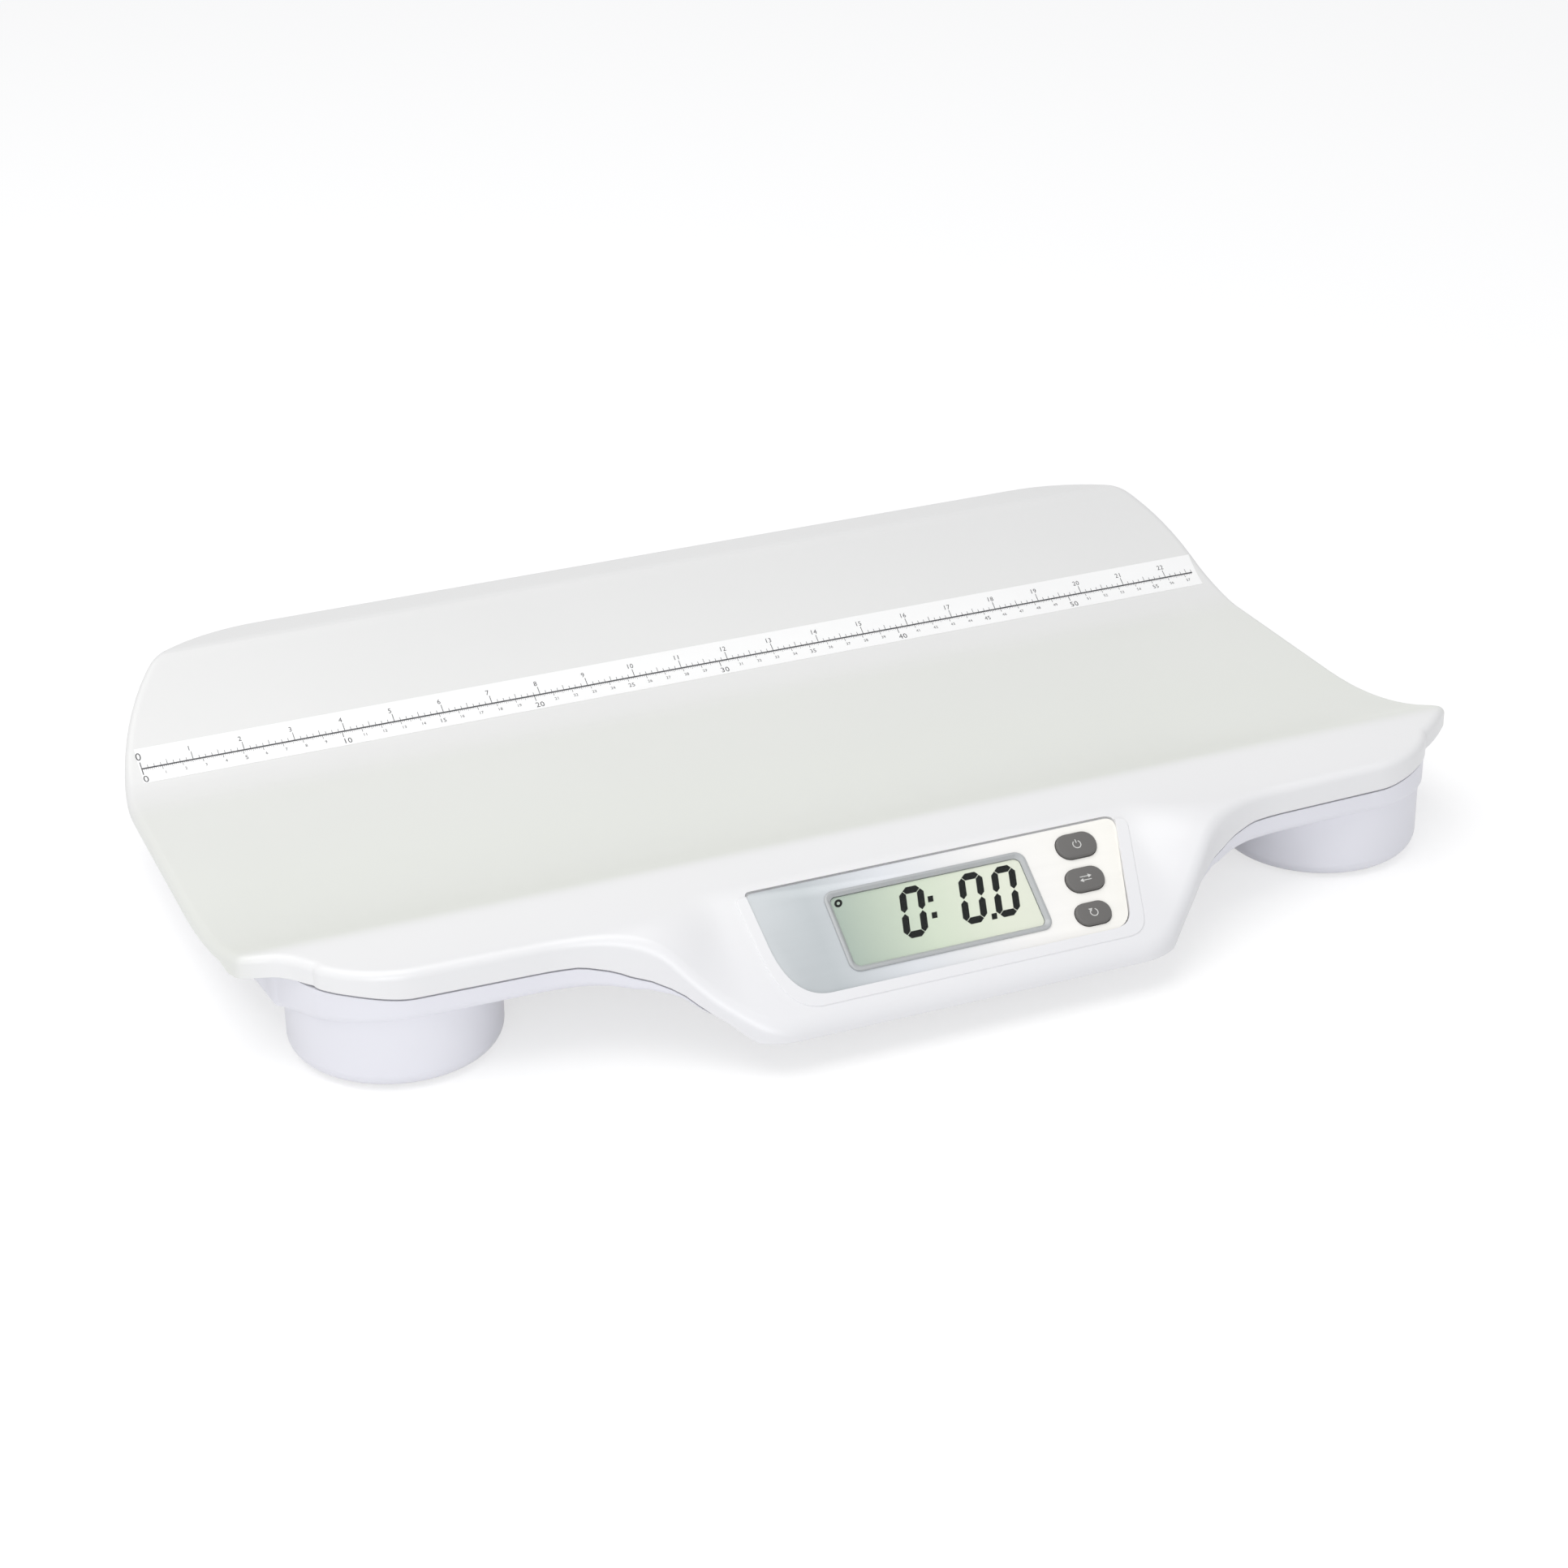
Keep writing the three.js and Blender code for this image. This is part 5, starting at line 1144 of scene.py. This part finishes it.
# %% [markdown]
# The ruler is a white film on the back slope with two scales on one line: inches above and centimetres
# below. A point on the film is given by its place along the line and its way up the slope, so flat marks
# can be stamped in that plane and then laid on the curve.
# %% Ruler film
RULER_LENGTH, RULER_X, RULER_LOW, RULER_HIGH, RULER_LINE = 578.5, 0.75, 121.65, 138.25, 129.35
FILM_TOP, FILM_BACK, FILM_ROWS, FILM_WHITE = 0.2, 0.04, 20, (0.93, 0.93, 0.925)


def ruler_strip():
    ends = RULER_X - RULER_LENGTH / 2, RULER_X + RULER_LENGTH / 2
    rows = []
    for k in range(FILM_ROWS + 1):
        rows.append([(x, mix(RULER_HIGH, RULER_LOW, k / FILM_ROWS)) for x in ends])
    skin = Skin()
    high, low = lambda x, y: top_z(x, y) + FILM_TOP, lambda x, y: top_z(x, y) + FILM_BACK
    skin.sheet(rows, high)
    skin.sheet(rows, low, flip=True)
    loop = [row[1] for row in rows] + [row[0] for row in reversed(rows)]
    skin.band(lift(loop, high), lift(loop, low))
    return skin.made("ruler_film")


film = ruler_strip()
smooth(film)
film_white = new_finish("film_white", FILM_WHITE, 0.34)
cloudy(film_white, FILM_WHITE, 14, 0.01)
uneven_gloss(film_white, 0.34, 40, 0.03)
fine_bump(film_white, 300, 0.03)
dress(film, film_white, replaces=("ruler_strip",))
print("ruler film", RULER_LENGTH, "mm long")

# %% [markdown]
# The marks are thin blocks and the figures are Blender's own text, made into meshes once for each digit.
# Each stamped point is laid on the slope by its distance from the line, measured along the surface.
# %% Ruler marks and figures
def digit_shape(digit):
    bpy.ops.object.text_add()
    text = bpy.context.object
    text.data.body = digit
    text.data.size = 1
    text.data.resolution_u = 3
    text.data.align_x = "CENTER"
    text.data.extrude = 0.02
    only(text)
    bpy.ops.object.convert(target="MESH")
    shape = shape_of(bpy.context.object)
    tall = max(p[1] for p in shape[0]) or 1
    return [(x / tall * MM, y / tall * MM, z * 2 * MM) for x, y, z in shape[0]], shape[1]


FIGURES = {digit: digit_shape(digit) for digit in "0123456789"}
tick = shape_of(block("tick", (-0.5, 0, -0.06), (0.5, 1, 0.06)))
marks = Stamp()


def add_tick(x, reach, width, y=0, z=0):
    marks.add(tick, placed(x, y, z) @ Matrix.Diagonal((width, reach, 1, 1)))


def add_number(number, x, base, height):
    figures = str(number)
    for k, digit in enumerate(figures):
        shift = (k - (len(figures) - 1) / 2) * (height * 0.78)
        marks.add(FIGURES[digit], placed(x + shift, base) @ Matrix.Diagonal((height, height, 1, 1)))


SCALE, INCH = 575, 25.4
START = -SCALE / 2
add_tick(0, 0.76, SCALE, -0.38, 0.02)
add_tick(START, 7.4, 0.4, -3.6)
for eighth in range(1, int(SCALE / INCH * 8) + 1):
    x = START + eighth * INCH / 8
    if eighth % 8 == 0:
        add_tick(x, 4.6, 0.3)
        add_number(eighth // 8, x - 0.6, 5.3, 2.5)
    else:
        add_tick(x, 3 if eighth % 4 == 0 else 1.9, 0.22)
for millimetre in range(1, SCALE):
    x = START + millimetre
    centimetre, rest = divmod(millimetre, 10)
    if rest:
        add_tick(x, -1.6 if rest == 5 else -1.1, 0.13)
    elif centimetre % 10 == 0:
        add_tick(x, -3.4, 0.3)
        add_number(centimetre, x + 1.2, -4.4 - 3.1, 3.1)
    else:
        height = 2.3 if centimetre % 5 == 0 else 1.6
        add_tick(x, -2.2, 0.22)
        add_number(centimetre, x + 0.8, -3.4 - height, height)
add_number(0, START, 4.9, 4)
add_number(0, START + 0.5, -8.2, 3.9)


def slope_point(along, lift_by):
    line_angle = math.asin((RULER_LINE - FLOOR_BACK) / RAMP_RADIUS)
    angle = line_angle + along / RAMP_RADIUS
    beyond = max(angle - RAMP_ANGLE, 0) * RAMP_RADIUS
    angle = min(angle, RAMP_ANGLE)
    y = FLOOR_BACK + RAMP_RADIUS * math.sin(angle) + beyond * math.cos(angle)
    z = FLOOR_TOP + RAMP_RADIUS * (1 - math.cos(angle)) + beyond * math.sin(angle) + FILM_TOP
    return y - lift_by * math.sin(angle), z + lift_by * math.cos(angle)


marks.points = [Vector((p.x, *(v * MM for v in slope_point(p.y / MM, p.z / MM)))) for p in marks.points]
printed = marks.made("ruler_marks")
ruler_ink = moulded("ruler_ink", (0.085, 0.085, 0.09), 0.5, specular=0.2, cloud=0.1, grain=0.05)
dress(printed, ruler_ink)
print("ruler marks:", len(printed.data.polygons), "faces")

# %% [markdown]
# Each foot ends in a soft rubber pad, turned with a bevelled rim and two shallow rings that give grip. Its
# stud carries the load cell. What repeats, such as a pad or a screw, is modelled once at the origin, copied
# to its places with a mesh for each copy, and then removed.
# %% Rubber pads
def copies_of(pattern, places):
    copies = []
    for name, move in places.items():
        other = pattern.copy()
        other.data = pattern.data.copy()
        other.name = other.data.name = name
        bpy.context.scene.collection.objects.link(other)
        other.data.transform(Matrix.Translation([v * MM for v in move]))
        copies.append(other)
    bpy.data.objects.remove(pattern)
    return copies


PAD_PROFILE = [
    (0, 0.5), (7, 0.5), (7.4, 0), (10.6, 0), (11, 0.5), (13.6, 0.5), (14, 0), (18.6, 0), (19.4, 0.2),
    (20.1, 0.7), (20.5, 1.5), (20.5, 5.8), (20.1, 6.2), (4, 6.2), (4, 9.1), (3.7, 9.4), (0, 9.4),
]
PEDESTAL_NAMES = ["front_left", "front_right", "back_left", "back_right"]
rubber = moulded("foot_rubber_finish", (0.10, 0.10, 0.105), 0.75, specular=0.3, cloud=0.12, grain=0.5)
pad = turned("pad_pattern", PAD_PROFILE, 0, 0, 72)
smooth(pad, 40)
pad_places = {"pad_" + name: (x, y, 0) for name, (x, y) in zip(PEDESTAL_NAMES, PEDESTALS)}
for one in copies_of(pad, pad_places):
    dress(one, rubber, replaces=("foot_" + one.name,))
print("pads:", ", ".join(PEDESTAL_NAMES))

# %% [markdown]
# Six steel screws hold the casing. They sit in wells on the underside. Their pan heads have a cross recess,
# and their shanks have a plain thread of rings.
# %% Casing screws
steel = moulded("screw_steel_finish", (0.55, 0.56, 0.58), 0.3, metallic=0.95, cloud=0.05, grain=0.15)
thread = []
for k in range(8):
    thread += [(1.18, 2.4 + k), (1.5, 2.9 + k)]
screw_profile = [
    (0, 0), (1.6, 0.05), (2.5, 0.4), (3, 1.1), (3, 2), (1.2, 2), *thread, (1.1, 10.4), (0, 10.6),
]
screw = turned("screw_pattern", screw_profile, 0, 0, 32)
for x, y in ((2.2, 0.35), (0.35, 2.2)):
    carve(screw, block("recess", (-x, -y, -1), (x, y, 0.9)))
smooth(screw, 35)
screw_places = {}
for k, (x, y) in enumerate(CASING_SCREWS):
    screw_places[f"screw_{k + 1}"] = (x, y, seat_z(x, y) - SEAT - GAP - 2)
for one in copies_of(screw, screw_places):
    dress(one, steel, replaces=("casing_" + one.name,))
print("six casing screws")

# %% [markdown]
# The battery door slides on the rails. It is a flat plate with rounded corners, a row of grip ribs near its
# front edge, and a raised arrow that shows the way it opens.
# %% Battery door
DOOR_SIZE, RIB_RISE = 69.4, 0.6
ARROW_OUTLINE = [(0, 40), (6, 32), (2.4, 32), (2.4, 26), (-2.4, 26), (-2.4, 32), (-6, 32)]
rib_top = DOOR_BOTTOM + 0.4
door = rounded_bar("bay_door", DOOR_SIZE, DOOR_SIZE, 1.5, DOOR_BOTTOM, DOOR_TOP, 0, BAY_MIDDLE)
soften(door, 0.3)
for k in range(6):
    rib = rounded_bar("rib", 22, 1.5, 0.7, DOOR_BOTTOM - RIB_RISE, rib_top, 0, 4 + k * 3, 4)
    bevel_edges(rib, lambda a, b: max(a.z, b.z) < DOOR_BOTTOM - 0.5, 0.4, 3)
    carve(door, rib, "UNION")
carve(door, plate("arrow", ARROW_OUTLINE, DOOR_BOTTOM - 0.4, rib_top), "UNION")
smooth(door, 35)
dress(door, base_white, ("battery_door",), "battery_cover")
print("battery door:", len(door.data.polygons), "faces")

# %% [markdown]
# Pieces inside the scale keep their CAD shape and get a finish each: spring steel with a brushed grain, a
# green circuit board, wire sleeves, foil-grey battery jackets and plain moulded plastics.
# %% Finishes of the inner pieces
cell_steel = moulded(
    "load_cell_steel", (0.62, 0.63, 0.64), 0.35, metallic=0.9, cloud=0.04,
    grain=0.2, grain_scale=600, stretch=(0.05, 1, 1),
)
contact = moulded("contact_finish", (0.72, 0.70, 0.66), 0.28, metallic=0.95, cloud=0.05, grain=0.1)
board_green = moulded("board_green", (0.03, 0.14, 0.07), 0.4, coat=0.3, cloud=0.15, grain=0.2)
sleeve = moulded("wire_sleeve_finish", (0.35, 0.35, 0.37), 0.5, cloud=0.08, grain=0.1)
jacket = moulded("cell_jacket_finish", (0.24, 0.26, 0.30), 0.35, metallic=0.4, cloud=0.06, grain=0.1)
reflector = moulded("reflector_white", (0.86, 0.87, 0.85), 0.4, cloud=0.02, grain=0.1)
zebra = moulded("zebra_rubber", (0.12, 0.12, 0.12), 0.6, cloud=0.2, grain=0.3)
black = moulded("black_moulding", (0.03, 0.03, 0.032), 0.45, cloud=0.1, grain=0.2)
clip_grey = moulded("clip_grey", (0.55, 0.56, 0.58), 0.45, cloud=0.03, grain=0.15)
INNER = {
    "load_cell": cell_steel, "cell_clip": clip_grey, "battery_cell": jacket, "battery_contacts": contact,
    "battery_leads": sleeve, "sensor_lead": sleeve, "ribbon_cable": sleeve, "board_screw": steel,
    "buzzer": black, "switch": black, "display_board": board_green, "sensor_board": board_green,
    "lcd_reflector": reflector, "zebra_strip": zebra,
}
dressed = 0
for name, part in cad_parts.items():
    finish = next((finish for start, finish in INNER.items() if name.startswith(start)), None)
    if finish:
        part.material_slots[0].material = finish
        dressed += 1
print(dressed, "inner pieces have their finish")

# %% [markdown]
# The stage is a plain white floor under soft light. To the camera the floor is nearly white by itself, and
# its diffuse half takes the soft shadow of the scale. The world is white to the camera and a quiet cool
# grey as a light. `by_ray` chooses what a ray meets: one side for light, the other for the camera, gloss
# and glass. One wide lamp hangs above and a weaker one stands in front on the left.
# %% Floor and light
FLOOR_SIZE, FLOOR_CUTS, FLOOR_GLOW, SKY_STRENGTH = 12, 4, 0.62, 0.52
WHITE, SKY, MATT, SEEN = (1, 1, 1, 1), (0.96, 0.97, 1.0, 1), (0.9, 0.9, 0.9, 1), (0.46, 0.46, 0.46, 1)

bpy.ops.mesh.primitive_plane_add(size=FLOOR_SIZE)
floor = bpy.context.object
floor.name = "floor"
in_edit(floor, bpy.ops.mesh.subdivide, number_cuts=FLOOR_CUTS)
floor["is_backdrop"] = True


def by_ray(owner, as_light, as_seen):
    path = node(owner, "ShaderNodeLightPath")
    total = path.outputs["Is Camera Ray"]
    for name in ("Is Glossy Ray", "Is Transmission Ray"):
        larger = node(owner, "ShaderNodeMath", operation="MAXIMUM")
        link(owner, total, larger.inputs[0])
        link(owner, path.outputs[name], larger.inputs[1])
        total = larger.outputs["Value"]
    choose = node(owner, "ShaderNodeMixShader")
    for start, socket in ((total, "Fac"), (as_light, 1), (as_seen, 2)):
        link(owner, start, choose.inputs[socket])
    return choose.outputs["Shader"]


floor_white = bpy.data.materials.new("floor_white")
floor_white.use_nodes = True
floor_white.node_tree.nodes.clear()
output = node(floor_white, "ShaderNodeOutputMaterial")
matt = node(floor_white, "ShaderNodeBsdfDiffuse", Color=MATT)
seen = node(floor_white, "ShaderNodeBsdfDiffuse", Color=SEEN)
glow = node(floor_white, "ShaderNodeEmission", Color=WHITE, Strength=FLOOR_GLOW)
both = node(floor_white, "ShaderNodeAddShader")
link(floor_white, seen.outputs["BSDF"], both.inputs[0])
link(floor_white, glow.outputs["Emission"], both.inputs[1])
floor_shader = by_ray(floor_white, matt.outputs["BSDF"], both.outputs["Shader"])
link(floor_white, floor_shader, output.inputs["Surface"])
floor.data.materials.append(floor_white)

world = bpy.data.worlds.new("studio")
world.use_nodes = True
bpy.context.scene.world = world
sky, output = (world.node_tree.nodes[name] for name in ("Background", "World Output"))
sky.inputs["Color"].default_value = SKY
sky.inputs["Strength"].default_value = SKY_STRENGTH
white = node(world, "ShaderNodeBackground", Color=WHITE)
sky_shader = by_ray(world, sky.outputs["Background"], white.outputs["Background"])
link(world, sky_shader, output.inputs["Surface"])


def soft_lamp(name, place, aim, size, power, colour):
    bpy.ops.object.light_add(type="AREA", location=place)
    lamp = bpy.context.object
    lamp.name = name
    lamp.data.shape = "SQUARE"
    lamp.data.size = size
    lamp.data.energy = power
    lamp.data.color = colour
    lamp.rotation_euler = (Vector(aim) - Vector(place)).to_track_quat("-Z", "Y").to_euler()


soft_lamp("overhead", (-0.6, -0.08, 2.1), (0, 0, 0), 2.0, 27, (1.0, 0.99, 0.975))
soft_lamp("front_fill", (-1.2, -2.5, 0.8), (0, 0, 0.05), 1.4, 20, (0.98, 0.985, 1.0))
bpy.context.scene.view_settings.view_transform = "Standard"
print("stage and light ready")

# %% [markdown]
# Last, the size of the visual model's box is printed.
# %% Size of the visual model
low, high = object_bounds()
print("visual box", [round(v, 4) for v in (*low, *high)])
